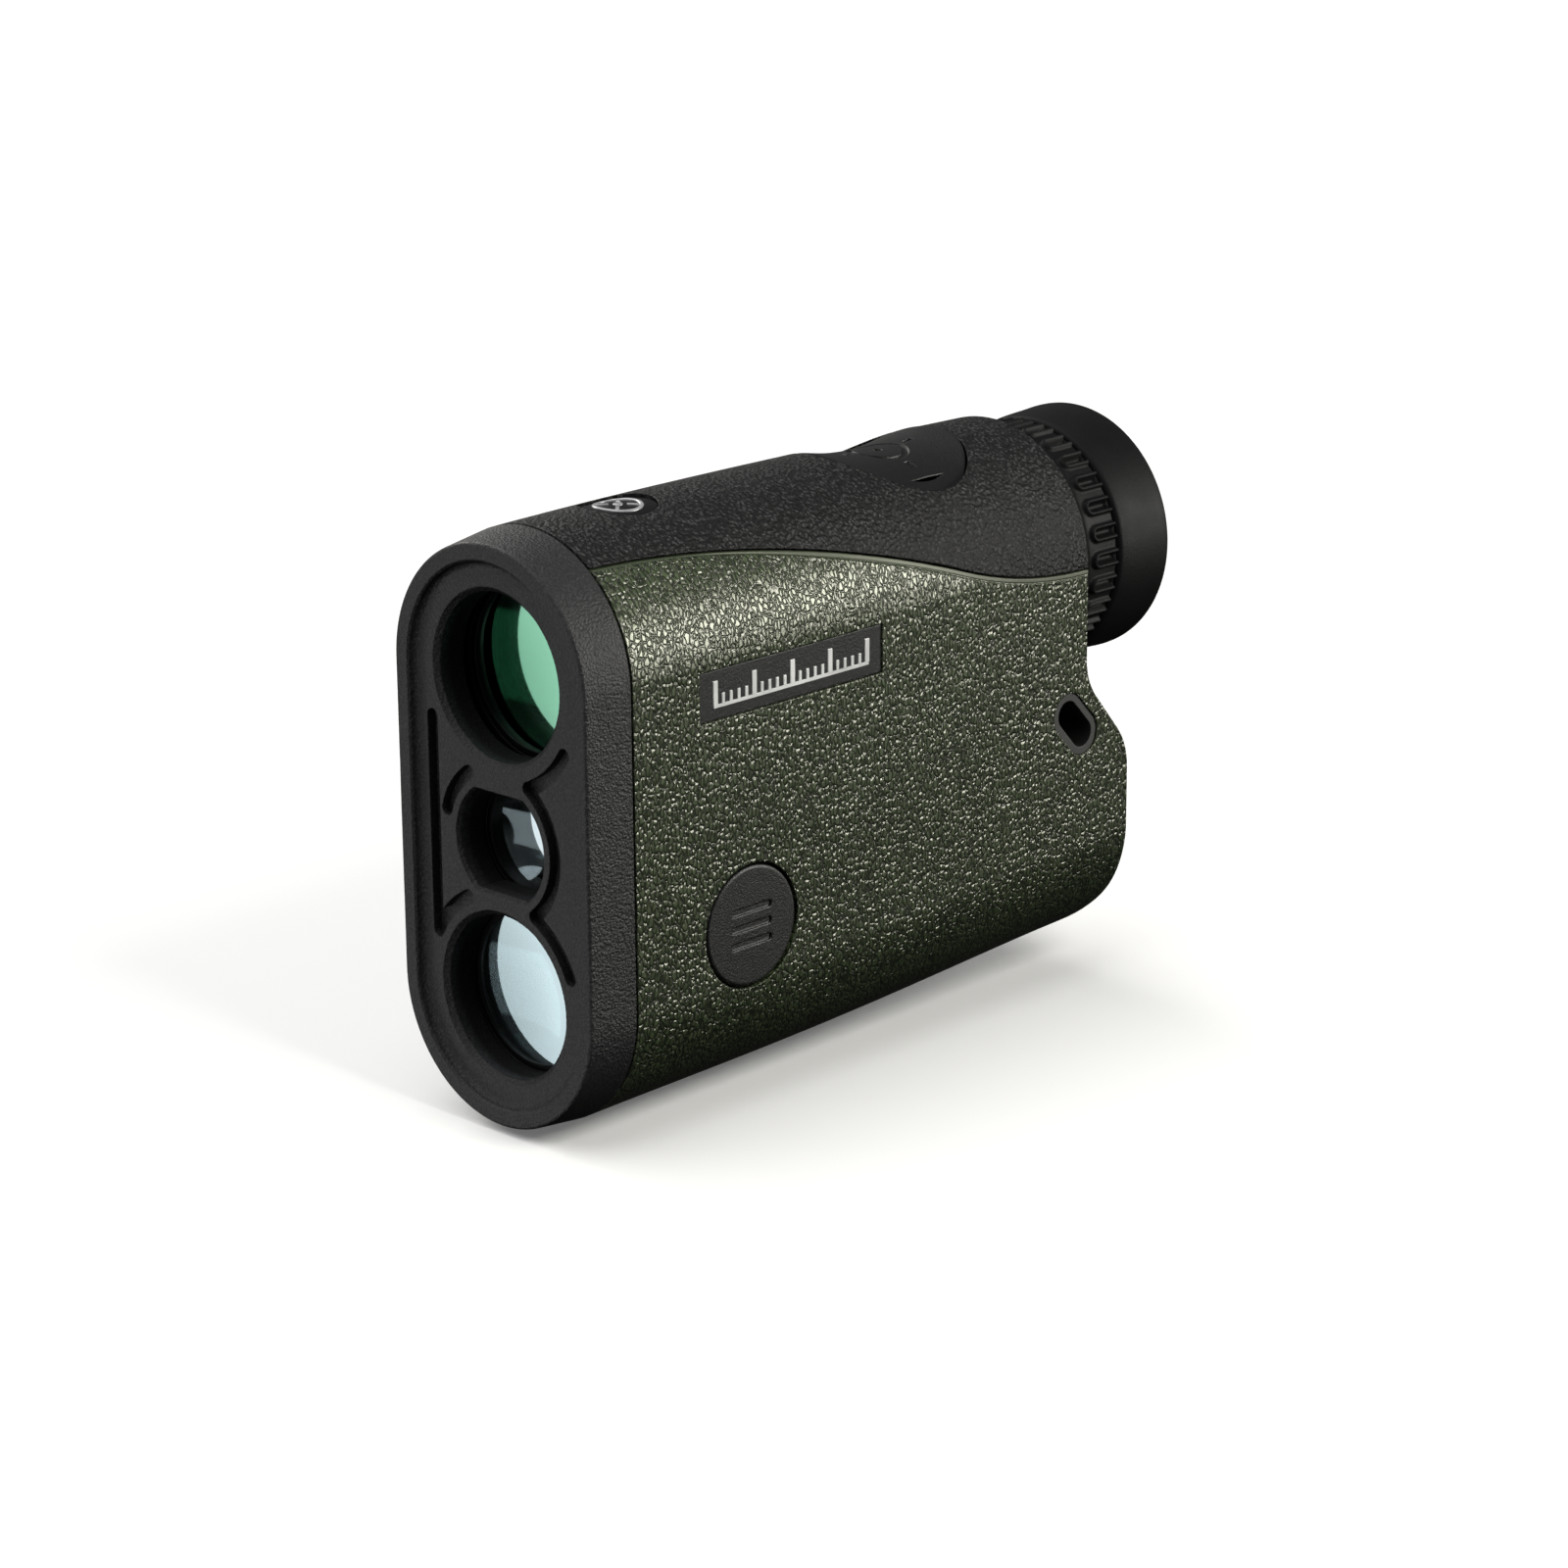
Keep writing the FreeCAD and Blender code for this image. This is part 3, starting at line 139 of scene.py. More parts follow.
class Look(Tree):
    """A procedural material on one Principled shader."""

    def __init__(self, name, metallic=0.0, specular=0.5, **shader):
        self.material = bpy.data.materials.new(name)
        self.material.use_nodes = True
        super().__init__(self.material.node_tree)
        self.shader = self.tree.nodes["Principled BSDF"]
        self.set("Metallic", metallic)
        self.set("Specular IOR Level", specular)
        for key, value in shader.items():
            self.set(key.replace("_", " "), value)
        self.place = self.add("ShaderNodeTexCoord").outputs["Object"]

    def set(self, key, value):
        self.feed(self.shader.inputs[key], value)

    def noise(self, scale, detail=2.0, where=None, roughness=0.5):
        node = self.add("ShaderNodeTexNoise", Vector=where or self.place, Scale=scale, Detail=detail,
                        Roughness=roughness)
        return node.outputs["Fac"]

    def pebbles(self, scale, where):
        """Rounded tops, 1 in their middles and lower towards the creases."""
        cells = self.add("ShaderNodeTexVoronoi", {"feature": "SMOOTH_F1"}, Vector=where, Scale=scale,
                         Smoothness=0.5)
        return self.math("SUBTRACT", 1.0, cells.outputs["Distance"])

    def stretched(self, scale, turn):
        node = self.add("ShaderNodeMapping", Vector=self.place, Scale=scale, Rotation=turn)
        return node.outputs["Vector"]

    def warped(self, where, scale, amount):
        """The coordinates pushed about by a noise, so that a grain doesn't look regular."""
        push = self.add("ShaderNodeTexNoise", Vector=where, Scale=scale, Detail=1.0).outputs["Color"]
        centred = self.vector("SUBTRACT", push, (0.5, 0.5, 0.5))
        return self.vector("MULTIPLY_ADD", centred, (amount, amount, amount), where)

    def rough(self, factor, low, high):
        self.set("Roughness", self.ramp(factor, 0.0, 1.0, low, high, smooth=False))

    def bump(self, height, depth, edge=0.0, strength=1.0):
        """Grain in the surface; edge is a radius that softens sharp edges in the shading."""
        node = self.add("ShaderNodeBump", Height=height, Distance=depth, Strength=strength)
        if edge:
            bevel = self.add("ShaderNodeBevel", {"samples": 6}, Radius=edge)
            self.feed(node.inputs["Normal"], bevel.outputs["Normal"])
        self.set("Normal", node.outputs["Normal"])


# ---------------------------------------------------------------- materials

# The top cover's lower edge bends down in one arc and level again in a second one.
EDGE_START = at(0, 6.6, 70.0)
EDGE_RUN, EDGE_FALL = 81.0 * MM, 13.8 * MM
EDGE_FRONT_RADIUS = 175.0 * MM


def below_cover(look):
    """Distance below the top cover's lower edge, over the part's sides."""
    end = EDGE_START + Vector((0, EDGE_RUN, -EDGE_FALL))
    front_radius = EDGE_FRONT_RADIUS
    back_radius = (EDGE_RUN ** 2 + EDGE_FALL ** 2) / (2 * EDGE_FALL) - front_radius
    _, y, z = look.split(look.place)

    def reach(centre_y, centre_z):
        return look.distance(look.math("SUBTRACT", y, centre_y), look.math("SUBTRACT", z, centre_z))

    front = look.math("SUBTRACT", front_radius, reach(EDGE_START.y, EDGE_START.z - front_radius))
    back = look.math("SUBTRACT", reach(end.y, end.z + back_radius), back_radius)
    bend = EDGE_START.y + EDGE_RUN * front_radius / (front_radius + back_radius)
    return look.mix(look.math("GREATER_THAN", y, bend), front, back, "FLOAT")


def leather_look():
    """Olive moulded leather grain: flat-topped pebbles, thin creases, and a smooth lip below the cover;
    painted shade darkens the creases, the low spots and the lip.
    """
    look = Look("olive_grain", specular=0.75, Specular_Tint=(1.0, 1.0, 0.88))
    grain = look.warped(look.stretched((1.0, 1.3, 0.78), (-0.5, 0, 0)), 1200, 0.6 * MM)
    crease = look.add("ShaderNodeTexVoronoi", {"feature": "DISTANCE_TO_EDGE"}, Vector=grain, Scale=1200)
    tops = look.ramp(crease.outputs["Distance"], 0.0, 0.24)
    swell = look.noise(1500, where=grain, roughness=0.6)
    height = look.math("MULTIPLY_ADD", swell, 0.35, tops)

    y = look.split(look.place)[1]
    lip_width = look.ramp(y, -34 * MM, 0.0, 0.4 * MM, 0.9 * MM)
    past_lip = look.math("SUBTRACT", below_cover(look), lip_width)
    grained = look.ramp(past_lip, -0.08 * MM, 0.1 * MM)
    groove = look.ramp(look.math("ABSOLUTE", past_lip), 0.04 * MM, 0.2 * MM, 1.0, 0.0)
    groove_depth = 0.9
    surface = look.math("SUBTRACT", look.math("MULTIPLY", height, grained),
                        look.math("MULTIPLY", groove, groove_depth))

    # Painted shade: the base colour darkens into the creases and over the low spots of the swell; the cloud
    # is a random tone.
    swell_shade = look.ramp(swell, 0.3, 0.65, 0.35, 1.0)
    cloud = look.ramp(look.noise(60), 0.3, 0.7, 0.8, 1.0)
    crease_shade_and_tone = look.math("MULTIPLY", look.math("MULTIPLY", tops, swell_shade), cloud)
    olive = look.mix(crease_shade_and_tone, (0.004, 0.008, 0.003), (0.068, 0.094, 0.043))
    # The smooth lip is a real band; its colour is darkened as painted shade under the cover's edge.
    lip_and_shade_color = (0.028, 0.041, 0.018)
    look.set("Base Color", look.mix(grained, lip_and_shade_color, olive))
    satin = look.ramp(look.noise(1800), 0.0, 1.0, 0.53, 0.63, smooth=False)
    grain_gloss = 0.25
    look.set("Roughness", look.math("SUBTRACT", satin, look.math("MULTIPLY", grained, grain_gloss)))
    look.bump(surface, 0.1 * MM, 0.25 * MM)
    return look.material


def pebble_look(name, low, high, rough, scale, depth, edge=0.25, specular=0.5):
    """Fine moulded texture: tight pebbles with tops painted lighter and hollows painted darker as shade;
    depth and softened edge in millimetres.
    """
    look = Look(name, specular=specular)
    tops = look.pebbles(scale, look.warped(look.place, scale * 0.6, 0.35 / scale))
    fine = look.noise(scale * 2.2, 3.0, roughness=0.65)
    height = look.math("MULTIPLY_ADD", fine, 0.7, tops)
    # Painted shade and highlight: the colour runs from low in the hollows to high on the pebble tops.
    look.set("Base Color", look.mix(look.ramp(height, 0.92, 1.27), low, high))
    look.rough(look.noise(scale * 0.8), *rough)
    look.bump(height, depth * MM, edge * MM)
    return look.material


def bezel_look():
    """Satin moulding with a very fine sparkle painted as lighter pebble tops, and painted shade: near black
    deeper in the three sight tunnels.
    """
    look = Look("bezel_satin", specular=0.3)
    x, y, z = look.split(look.place)
    outside = 1.0
    for axis, radius in ((SIGHT, 12.6), (EMITTER, 8.6), (RECEIVER, 11.6)):
        away = look.distance(x, look.math("SUBTRACT", z, axis * MM))
        past_wall = look.ramp(away, (radius - 0.25) * MM, (radius + 0.05) * MM)
        outside = look.math("MULTIPLY", outside, past_wall)
    near_rim = look.ramp(y, at(0, 2.2, 0).y, at(0, 3.6, 0).y, 1.0, 0.0)
    clear_of_tunnel_shade = look.math("MAXIMUM", outside, near_rim)

    tops = look.pebbles(3000, look.warped(look.place, 2500, 0.1 * MM))
    height = look.math("MULTIPLY_ADD", look.noise(9000, roughness=0.6), 0.7, tops)
    # Painted highlight and shade: pebble tops lighter, hollows darker.
    satin = look.mix(look.ramp(height, 0.8, 1.35), (0.014, 0.014, 0.015), (0.037, 0.037, 0.039))
    # Painted shade: past the first few millimetres the sight tunnels are near black.
    tunnel_shade_black = (0.0015, 0.0015, 0.0015)
    look.set("Base Color", look.mix(clear_of_tunnel_shade, tunnel_shade_black, satin))
    look.rough(clear_of_tunnel_shade, 0.85, 0.43)
    look.bump(height, 0.1 * MM, 0.2 * MM)
    return look.material


def smooth_look(name, color, rough, speck=5200, depth=0.012, edge=0.2, **shader):
    """Smooth moulded or turned surface with faint flow clouds and a trace of texture."""
    look = Look(name, **shader)
    cloud_dark = tuple(value * 0.72 for value in color)
    look.set("Base Color", look.mix(look.ramp(look.noise(140, 3.0), 0.3, 0.7), cloud_dark, color))
    look.rough(look.noise(420, 3.0), *rough)
    look.bump(look.noise(speck), depth * MM, edge * MM)
    return look.material


def glass_look(name, coat, deep, front, back):
    """Coated glass: a tinted mirror coat over clear glass, with its own share on the front and back face."""
    look = Look(name, metallic=1.0, Roughness=0.04)
    cloud_dark = tuple(value * 0.92 for value in coat)
    look.set("Base Color", look.mix(look.ramp(look.noise(30, 1.0), 0.35, 0.65), cloud_dark, coat))
    clear = look.add("ShaderNodeBsdfPrincipled", Base_Color=deep, Roughness=0.02, IOR=1.52,
                     Transmission_Weight=1.0)
    along = look.split(look.add("ShaderNodeTexCoord").outputs["Generated"])[1]
    blend = look.add("ShaderNodeMixShader", Fac=look.ramp(along, 0.45, 0.55, front, back))
    look.feed(blend.inputs[1], clear.outputs["BSDF"])
    look.feed(blend.inputs[2], look.shader.outputs["BSDF"])
    look.feed(look.tree.nodes["Material Output"].inputs["Surface"], blend.outputs["Shader"])
    return look.material


def board_look():
    """Green solder mask with faint tracks."""
    look = Look("solder_mask", Roughness=0.35)
    tracks = look.add("ShaderNodeTexBrick", Vector=look.place, Scale=260.0, Mortar_Size=0.03,
                      Color1=(0.008, 0.075, 0.035), Color2=(0.006, 0.06, 0.03), Mortar=(0.02, 0.16, 0.07))
    look.set("Base Color", tracks.outputs["Color"])
    look.bump(tracks.outputs["Fac"], 0.03 * MM, strength=0.6)
    return look.material


LOOKS = {
    "shell_green": leather_look(),
    "cover_rubber": pebble_look("cover_pebble", (0.0005, 0.0005, 0.0006), (0.062, 0.062, 0.064),
                                (0.36, 0.56), scale=1900, depth=0.24, specular=0.24),
    "bezel_black": bezel_look(),
    "button_black": pebble_look("key_satin", (0.002, 0.002, 0.0025), (0.007, 0.007, 0.008),
                                (0.36, 0.5), scale=4600, depth=0.03, edge=0.3, specular=0.4),
    "gloss_black": smooth_look("badge_gloss", (0.003, 0.003, 0.0035), (0.06, 0.14), edge=0.25,
                               specular=0.3),
    "bar_black": pebble_look("bar_satin", (0.01, 0.01, 0.011), (0.024, 0.024, 0.026),
                             (0.3, 0.45), scale=3600, depth=0.02, edge=0.15, specular=0.3),
    "cup_rubber": smooth_look("cup_rubber", (0.006, 0.006, 0.0065), (0.5, 0.62), speck=3600, depth=0.03,
                              edge=0.3, specular=0.1),
    "seal_rubber": smooth_look("seal_rubber", (0.006, 0.006, 0.006), (0.6, 0.75), speck=2600, depth=0.02),
    "sleeve_black": smooth_look("sleeve_black", (0.006, 0.006, 0.006), (0.55, 0.7)),
    "cap_black": pebble_look("cap_satin", (0.014, 0.014, 0.015), (0.03, 0.03, 0.032),
                             (0.35, 0.5), scale=4200, depth=0.02, edge=0.3),
    "black_alloy": smooth_look("black_anodised", (0.002, 0.002, 0.0025), (0.4, 0.5), depth=0.001,
                               specular=0.2),
    "screw_steel": smooth_look("black_zinc", (0.12, 0.12, 0.125), (0.22, 0.35), metallic=1.0),
    "shield_tin": smooth_look("tinned_sheet", (0.6, 0.6, 0.6), (0.25, 0.4), metallic=1.0),
    "green_coated_glass": glass_look("green_coat", coat=(0.2, 0.51, 0.34), deep=(0.2, 0.85, 0.5),
                                     front=0.55, back=0.22),
    "clear_coated_glass": glass_look("blue_coat", coat=(0.6, 0.78, 0.82), deep=(0.8, 0.88, 0.92),
                                     front=0.44, back=0.24),
    "prism_glass": glass_look("prism_polish", coat=(0.6, 0.62, 0.62), deep=(0.95, 1.0, 1.0),
                              front=0.08, back=0.08),
    "board_green": board_look(),
    "chip_black": smooth_look("chip_black", (0.015, 0.015, 0.015), (0.45, 0.6)),
    "switch_body": smooth_look("switch_body", (0.03, 0.03, 0.03), (0.4, 0.5)),
    "display_glass": smooth_look("display_panel", (0.02, 0.022, 0.026), (0.08, 0.15)),
    "flex_amber": smooth_look("flex_amber", (0.4, 0.17, 0.02), (0.2, 0.3)),
    "diode_metal": smooth_look("diode_can", (0.72, 0.6, 0.36), (0.15, 0.25), metallic=1.0),
    "contact_brass": smooth_look("contact_brass", (0.75, 0.55, 0.22), (0.2, 0.3), metallic=1.0),
    "battery_wrap": smooth_look("battery_wrap", (0.05, 0.06, 0.075), (0.25, 0.35)),
}
EMITTER_GLASS = glass_look("emitter_coat", coat=(0.76, 0.88, 0.92), deep=(0.85, 0.92, 0.95),
                           front=0.42, back=0.5)
SILVER = smooth_look("motif_silver", (0.6, 0.6, 0.62), (0.22, 0.32), metallic=0.5, edge=0.05)
WHITE = smooth_look("motif_white", (0.9, 0.9, 0.9), (0.35, 0.45), edge=0.05)

for part in frame["record"]["subparts"]:
    shown = nodes[part["node"]]
    shown.data.materials.clear()
    shown.data.materials.append(LOOKS[part["material_slot"]])


# ---------------------------------------------------------------- meshes

def circle(cx, cy, radius, count=48):
    turns = [2 * math.pi * step / count for step in range(count)]
    return [(cx + radius * math.cos(turn), cy + radius * math.sin(turn)) for turn in turns]


def strip(mesh, near, far):
    """Quads between two closed rows of vertices."""
    for index in range(len(near)):
        after = (index + 1) % len(near)
        mesh.faces.new((near[index], near[after], far[after], far[index]))


def finish_piece(name, mesh, body, slot, look=None, smooth=True):
    """Makes an object of a mesh; its look is its slot's unless another is given."""
    bmesh.ops.recalc_face_normals(mesh, faces=mesh.faces)
    mesh.normal_update()
    data = bpy.data.meshes.new(name)
    mesh.to_mesh(data)
    mesh.free()
    piece = bpy.data.objects.new(name, data)
    scene.collection.objects.link(piece)
    for face in data.polygons:
        face.use_smooth = smooth
    data.materials.append(look or LOOKS[slot])
    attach(piece, body)
    return piece


def lathe(name, profile, high, body, slot, count=192, rise=None):
    """A closed ring turned about the axis at a height; profile points are (radius, station)."""
    mesh = bmesh.new()
    rings = []
    for step in range(count):
        turn = 2 * math.pi * step / count
        ring = []
        for radius, station in profile:
            reach = radius + (rise(turn, station, radius) if rise else 0.0)
            ring.append(mesh.verts.new(at(reach * math.cos(turn), station, high + reach * math.sin(turn))))
        rings.append(ring)
    for near, far in zip(rings, rings[1:] + rings[:1]):
        strip(mesh, near, far)
    return finish_piece(name, mesh, body, slot)


def rounded_path(corners, steps=5):
    """Corner points (radius, station, rounding) as a smooth closed outline."""
    outline = []
    for index, (x, y, rounding) in enumerate(corners):
        if rounding <= 0:
            outline.append((x, y))
            continue
        here = Vector((x, y))
        before = Vector(corners[index - 1][:2]) - here
        after = Vector(corners[(index + 1) % len(corners)][:2]) - here
        start = here + before.normalized() * min(rounding, before.length * 0.48)
        end = here + after.normalized() * min(rounding, after.length * 0.48)
        for step in range(steps + 1):
            share = step / steps
            point = start * (1 - share) ** 2 + here * 2 * share * (1 - share) + end * share ** 2
            outline.append((point.x, point.y))
    return outline


def divided(points, longest):
    """Adds points so that no straight run is longer than a length."""
    result = []
    for index, (x, y) in enumerate(points):
        bx, by = points[(index + 1) % len(points)]
        pieces = max(1, math.ceil(math.hypot(bx - x, by - y) / longest))
        result += [(x + (bx - x) * step / pieces, y + (by - y) * step / pieces) for step in range(pieces)]
    return result


# ---------------------------------------------------------------- focusing ring and eyecup

GRIPS = 28
GRIP_STEPS = 28             # mesh columns to each grip
BAND_FRONT, BAND_BACK = 89.4, 95.5
BAND_RADIUS = 15.2


def grip_rise(turn, station, radius):
    """Raised finger loops, open to the back, each round a sunk slot."""
    if radius < BAND_RADIUS - 0.3 or station > BAND_BACK - 0.2:
        return 0.0
    loop_half, loop_front = 0.8, 91.75
    ridge_height, ridge_half = 0.6, 0.27
    slot_depth, slot_inset, slot_slope = 0.55, 0.42, 0.07
    pitch = 2 * math.pi / GRIPS
    across = abs((turn / pitch + 0.5) % 1.0 - 0.5) * pitch * BAND_RADIUS
    along = station - loop_front
    from_line = (math.hypot(across, along) if along < 0 else across) - loop_half
    ridge = ridge_height * math.exp(-(from_line / ridge_half) ** 4)
    slot = slot_depth / (1 + math.exp((from_line + slot_inset) / slot_slope))
    fade = min(1.0, max(0.0, (station - BAND_FRONT - 0.5) / 0.4))
    return (ridge - slot) * fade


band = rounded_path([(13.2, BAND_FRONT, 0.2), (14.4, BAND_FRONT, 0.3), (15.15, 90.2, 0.5),
                     (BAND_RADIUS, 95.45, 0.2), (13.2, BAND_BACK, 0)])
ring_bore = [(13.15, BAND_BACK), (13.15, 100.0), (12.4, 100.0), (12.4, BAND_BACK), (11.35, BAND_BACK),
             (11.35, 94.0), (12.8, 94.0), (12.8, BAND_FRONT)]
ring = lathe("focus_ring", divided(band, 0.16) + ring_bore, SIGHT, "dioptre", "cup_rubber",
             GRIPS * GRIP_STEPS, grip_rise)
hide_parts("dioptre_ring")

cup_profile = rounded_path([
    (13.2, 95.65, 0), (15.2, 95.65, 0.2), (15.75, 95.9, 0.4), (16.05, 97.6, 2.0), (16.22, 101.5, 2.0),
    (16.38, 103.6, 0.8), (16.28, 104.79, 0.7), (15.3, 104.79, 0.6), (14.6, 103.4, 1.2), (12.7, 101.2, 0.8),
    (10.2, 100.85, 0.4), (9.6, 100.15, 0.3), (13.2, 100.12, 0)], 8)
cup = lathe("soft_eyecup", cup_profile, SIGHT, "dioptre", "cup_rubber")
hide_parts("eyecup")


# ---------------------------------------------------------------- lenses

def lens(node, front_bulge, back_bulge, slot, body="housing", look=None):
    """A ground lens with true curved faces in place of the faceted one; a bulge below zero is a hollow."""
    low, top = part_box(node)
    start, end = low[1] / MM - FRONT, top[1] / MM - FRONT
    high = axis_height(node)
    radius = round((top[2] - low[2]) / 2 / MM, 2)
    pole = 0.02             # radius of the small face in the middle
    steps, count = 24, 96
    sharp = 0.6             # an edge with a larger turn, in radians, isn't shaded smooth

    def face(apex, edge):
        shares = [step / steps for step in range(steps + 1)]
        return [(max(radius * share, pole), apex + (edge - apex) * share ** 2) for share in shares]

    rim = start + max(0.0, front_bulge)
    mesh = bmesh.new()
    rings = [[mesh.verts.new(at(x, station, z)) for x, z in circle(0, high, reach, count)]
             for reach, station in face(rim - front_bulge, rim) + face(end, end - back_bulge)[::-1]]
    for near, far in zip(rings, rings[1:]):
        strip(mesh, near, far)
    mesh.faces.new(rings[0])
    mesh.faces.new(rings[-1])
    bmesh.ops.recalc_face_normals(mesh, faces=mesh.faces)
    for edge in mesh.edges:
        if edge.calc_face_angle(0) > sharp:
            edge.smooth = False
    piece = finish_piece(f"{node}_glass", mesh, body, slot, look)
    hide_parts(node)


lens("objective_lens", -1.1, 2.0, "green_coated_glass")
lens("emitter_lens", 0.3, 1.6, "clear_coated_glass", look=EMITTER_GLASS)
lens("receiver_lens", -0.9, 2.0, "clear_coated_glass")
lens("eye_lens", 1.6, 0.7, "clear_coated_glass", "ocular_slide")


# ---------------------------------------------------------------- motifs

SOFT_EDGE = 0.08            # chamfer round the top of a raised mark


def inset(loop, amount):
    """A flat outline drawn in towards its middle, or let out from it by an amount below zero."""
    cx = sum(x for x, _ in loop) / len(loop)
    cy = sum(y for _, y in loop) / len(loop)
    scales = [1 - amount / math.hypot(x - cx, y - cy) for x, y in loop]
    return [(cx + (x - cx) * scale, cy + (y - cy) * scale) for (x, y), scale in zip(loop, scales)]


def relief(name, marks, lift, place, look, slot):
    """Raised marks from flat outlines with or without a hole; place(a, b, lift) puts a point on the part."""
    sunk = -0.1
    mesh = bmesh.new()

    def row(loop, level):
        return [mesh.verts.new(place(x, y, level)) for x, y in loop]

    for outline, hole in marks:
        edges = [(outline, SOFT_EDGE)] + ([(hole, -SOFT_EDGE)] if hole else [])
        tops = [row(inset(loop, amount), lift) for loop, amount in edges]
        sides = [row(loop, lift - SOFT_EDGE) for loop, _ in edges]
        feet = [row(loop, sunk) for loop, _ in edges]
        for upper, lower in [*zip(tops, sides), *zip(sides, feet)]:
            strip(mesh, upper, lower)
        for level in (tops, feet):
            if hole:
                strip(mesh, *level)
            else:
                mesh.faces.new(level[0])
    return finish_piece(name, mesh, "housing", slot, look, smooth=False)


def bar(x0, y0, x1, y1):
    return [(x0, y0), (x1, y0), (x1, y1), (x0, y1)]


def turned(loop, cx, cy, degrees):
    """An outline turned about zero and moved to a point."""
    c, s = math.cos(math.radians(degrees)), math.sin(math.radians(degrees))
    return [(cx + u * c - v * s, cy + u * s + v * c) for u, v in loop]


badge = nodes["top_badge"].data
badge_tree = BVHTree.FromPolygons([v.co[:] for v in badge.vertices], [p.vertices[:] for p in badge.polygons])


def on_badge(x, y, lift):
    above = 90
    hit = badge_tree.ray_cast(at(x, y, above), Vector((0, 0, -1)))[0]
    return hit + Vector((0, 0, lift * MM))


BADGE_Y = 21.4
emblem = [(circle(0, BADGE_Y, 3.1), circle(0, BADGE_Y, 2.6)), (circle(0, BADGE_Y, 0.6), None)]
for quarter in range(4):
    spoke = turned(bar(1.1, -0.24, 2.6, 0.24), 0, BADGE_Y, 45 + 90 * quarter)
    emblem.append((spoke, None))
relief("badge_motif", emblem, 0.13, on_badge, SILVER, "gloss_black")

BAR_RECESS = 0.25           # the name bars' faces lie this far inside the front rim's flanks
SCALE_START, SCALE_PITCH, SCALE_STEPS = 20.5, 1.3, 20
SCALE_FOOT = 52.0
scale_end = SCALE_START + SCALE_STEPS * SCALE_PITCH
scale_marks = [(bar(SCALE_START - 0.3, SCALE_FOOT - 0.3, scale_end + 0.3, SCALE_FOOT + 0.1), None)]
for step in range(SCALE_STEPS + 1):
    tall, half = (3.0, 0.36) if step % 5 == 0 else (1.35, 0.22)
    centre = SCALE_START + step * SCALE_PITCH
    scale_marks.append((bar(centre - half, SCALE_FOOT, centre + half, SCALE_FOOT + tall), None))
for side, hand in (("left", 1), ("right", -1)):
    def on_bar(y, z, lift, hand=hand):
        return at(hand * (HALF_WIDTH - BAR_RECESS + lift), y, z)

    relief(f"{side}_bar_scale", scale_marks, 0.14, on_bar, WHITE, "bar_black")


# ---------------------------------------------------------------- studio

floor_look = Look("pale_floor", specular=0.1, Roughness=0.75, Emission_Color=(1, 1, 1))
floor_look.set("Base Color", floor_look.mix(floor_look.noise(3.0), (0.85, 0.85, 0.85), (0.87, 0.87, 0.87)))
away = floor_look.measure("LENGTH", floor_look.place)
floor_look.set("Emission Strength", floor_look.ramp(away, 0.25, 1.0, 0.12, 0.5))

mesh = bmesh.new()
bmesh.ops.create_grid(mesh, x_segments=8, y_segments=8, size=30.0)
floor_data = bpy.data.meshes.new("floor")
mesh.to_mesh(floor_data)
mesh.free()
floor_data.materials.append(floor_look.material)
floor = bpy.data.objects.new("floor", floor_data)
floor.location.z = -0.4 * MM
floor.visible_diffuse = False
floor.visible_glossy = False
floor.visible_transmission = False
scene.collection.objects.link(floor)

world = bpy.data.worlds.new("studio")
world.use_nodes = True
scene.world = world
room = Tree(world.node_tree)
looked_at = room.add("ShaderNodeTexCoord").outputs["Generated"]


def within(axis, low, high, soft):
    """1 where the looked-at direction's share along an axis is between two values, with soft ends."""
    share = room.measure("DOT_PRODUCT", looked_at, axis)
    return room.math("MULTIPLY", room.ramp(share, low - soft, low, smooth=False),
                     room.ramp(share, high + soft, high, smooth=False))


# A bright bank of light ahead of the part on its -X side, brighter towards one end, in a dim room.
ahead = within((-0.69, -0.72, 0), 0.0, 2.0, 0.01)
sideways = within((0.72, -0.69, 0), -0.36, 0.85, 0.02)
upright = within((0, 0, 1), -0.6, 0.14, 0.03)
bank = room.math("MULTIPLY", room.math("MULTIPLY", ahead, sideways), upright)
dim = room.ramp(room.split(looked_at)[2], -0.3, 0.15, 0.01, 0.13, smooth=False)
along_bank = room.measure("DOT_PRODUCT", looked_at, (0.72, -0.69, 0.35))
glow = room.ramp(along_bank, -0.35, 0.15, 2.1, 1.1, smooth=False)
sky = world.node_tree.nodes["Background"]
room.feed(sky.inputs["Color"], (1, 1, 1))
room.feed(sky.inputs["Strength"], room.ramp(bank, 0.0, 1.0, dim, glow, smooth=False))

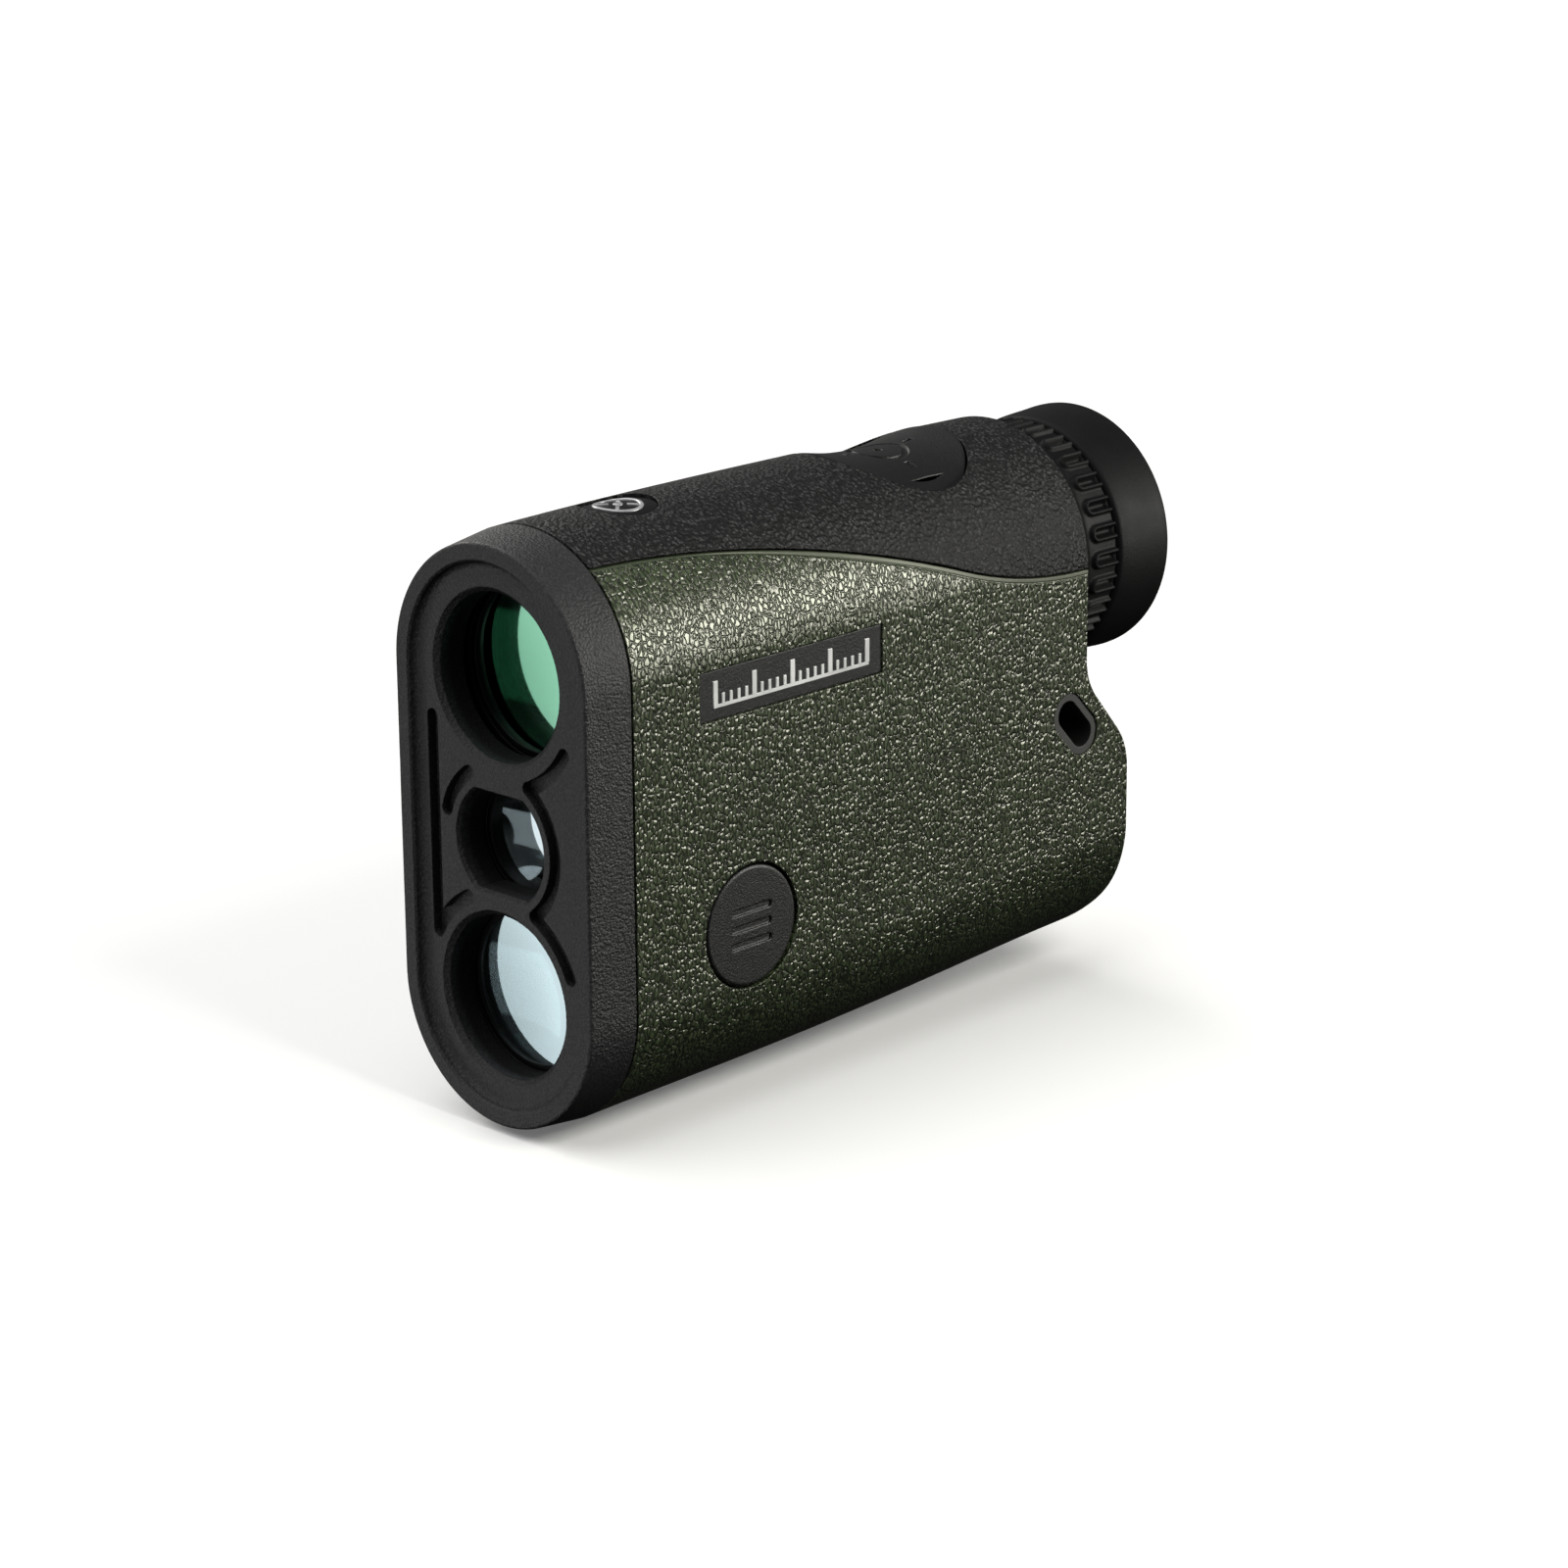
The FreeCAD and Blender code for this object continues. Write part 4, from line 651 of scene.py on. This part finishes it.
# The backdrop that the camera sees is plain white.
backdrop = room.add("ShaderNodeBackground", Color=(1, 1, 1), Strength=1.0)
seen = room.add("ShaderNodeLightPath").outputs["Is Camera Ray"]
chosen = room.add("ShaderNodeMixShader", Fac=seen)
room.feed(chosen.inputs[1], sky.outputs["Background"])
room.feed(chosen.inputs[2], backdrop.outputs["Background"])
room.feed(world.node_tree.nodes["World Output"].inputs["Surface"], chosen.outputs["Shader"])


def lit(name, light, place, aim, sheen=True, fill=True):
    """Puts a light in the studio; without sheen it isn't mirrored, without fill it only is."""
    item = bpy.data.objects.new(name, light)
    item.visible_camera = False
    item.visible_glossy = sheen
    item.visible_diffuse = fill
    item.location = place
    item.rotation_euler = (Vector(aim) - Vector(place)).to_track_quat("-Z", "Y").to_euler()
    scene.collection.objects.link(item)


def softbox(name, place, size, radiance, **kinds):
    """A lit rectangle of a given brightness, facing the middle of the part."""
    middle = (0, 0, 0.035)
    light = bpy.data.lights.new(name, "AREA")
    light.color = (1.0, 0.985, 0.92)
    light.shape = "RECTANGLE"
    light.size, light.size_y = size
    light.energy = radiance * math.pi * size[0] * size[1]
    lit(name, light, place, middle, **kinds)


overhead = bpy.data.lights.new("overhead_silk", "SUN")
overhead.energy = 2.05
overhead.angle = math.radians(75)
lit("overhead_silk", overhead, (-0.3, -0.3, 1.0), (0, 0, 0))
softbox("shoulder_softbox", (0.42, 0.35, 0.165), (0.3, 0.24), 20.0, fill=False)
softbox("side_silk", (0.3, -0.02, 0.27), (0.15, 0.15), 15.0, sheen=False)
softbox("far_side_softbox", (-0.75, 0.1, 0.4), (0.5, 0.4), 5.0)

# The photograph's viewing angle, solved from the part's own proportions.
forward = Vector((-0.66691, 0.68519, -0.29283)).normalized()
across = Vector((0.71814, 0.69586, -0.00731)).normalized()
upward = across.cross(forward).normalized()
pose = Matrix((across, upward, -forward)).transposed().to_4x4()
pose.translation = at(367.948, -328.738, 193.964)

camera_data = bpy.data.cameras.new("camera")
camera_data.sensor_width = 36.0
camera_data.lens = 100.83
camera_data.clip_start = 0.01
camera = bpy.data.objects.new("camera", camera_data)
camera.matrix_world = pose
scene.collection.objects.link(camera)
scene.camera = camera
scene.view_settings.view_transform = "Standard"
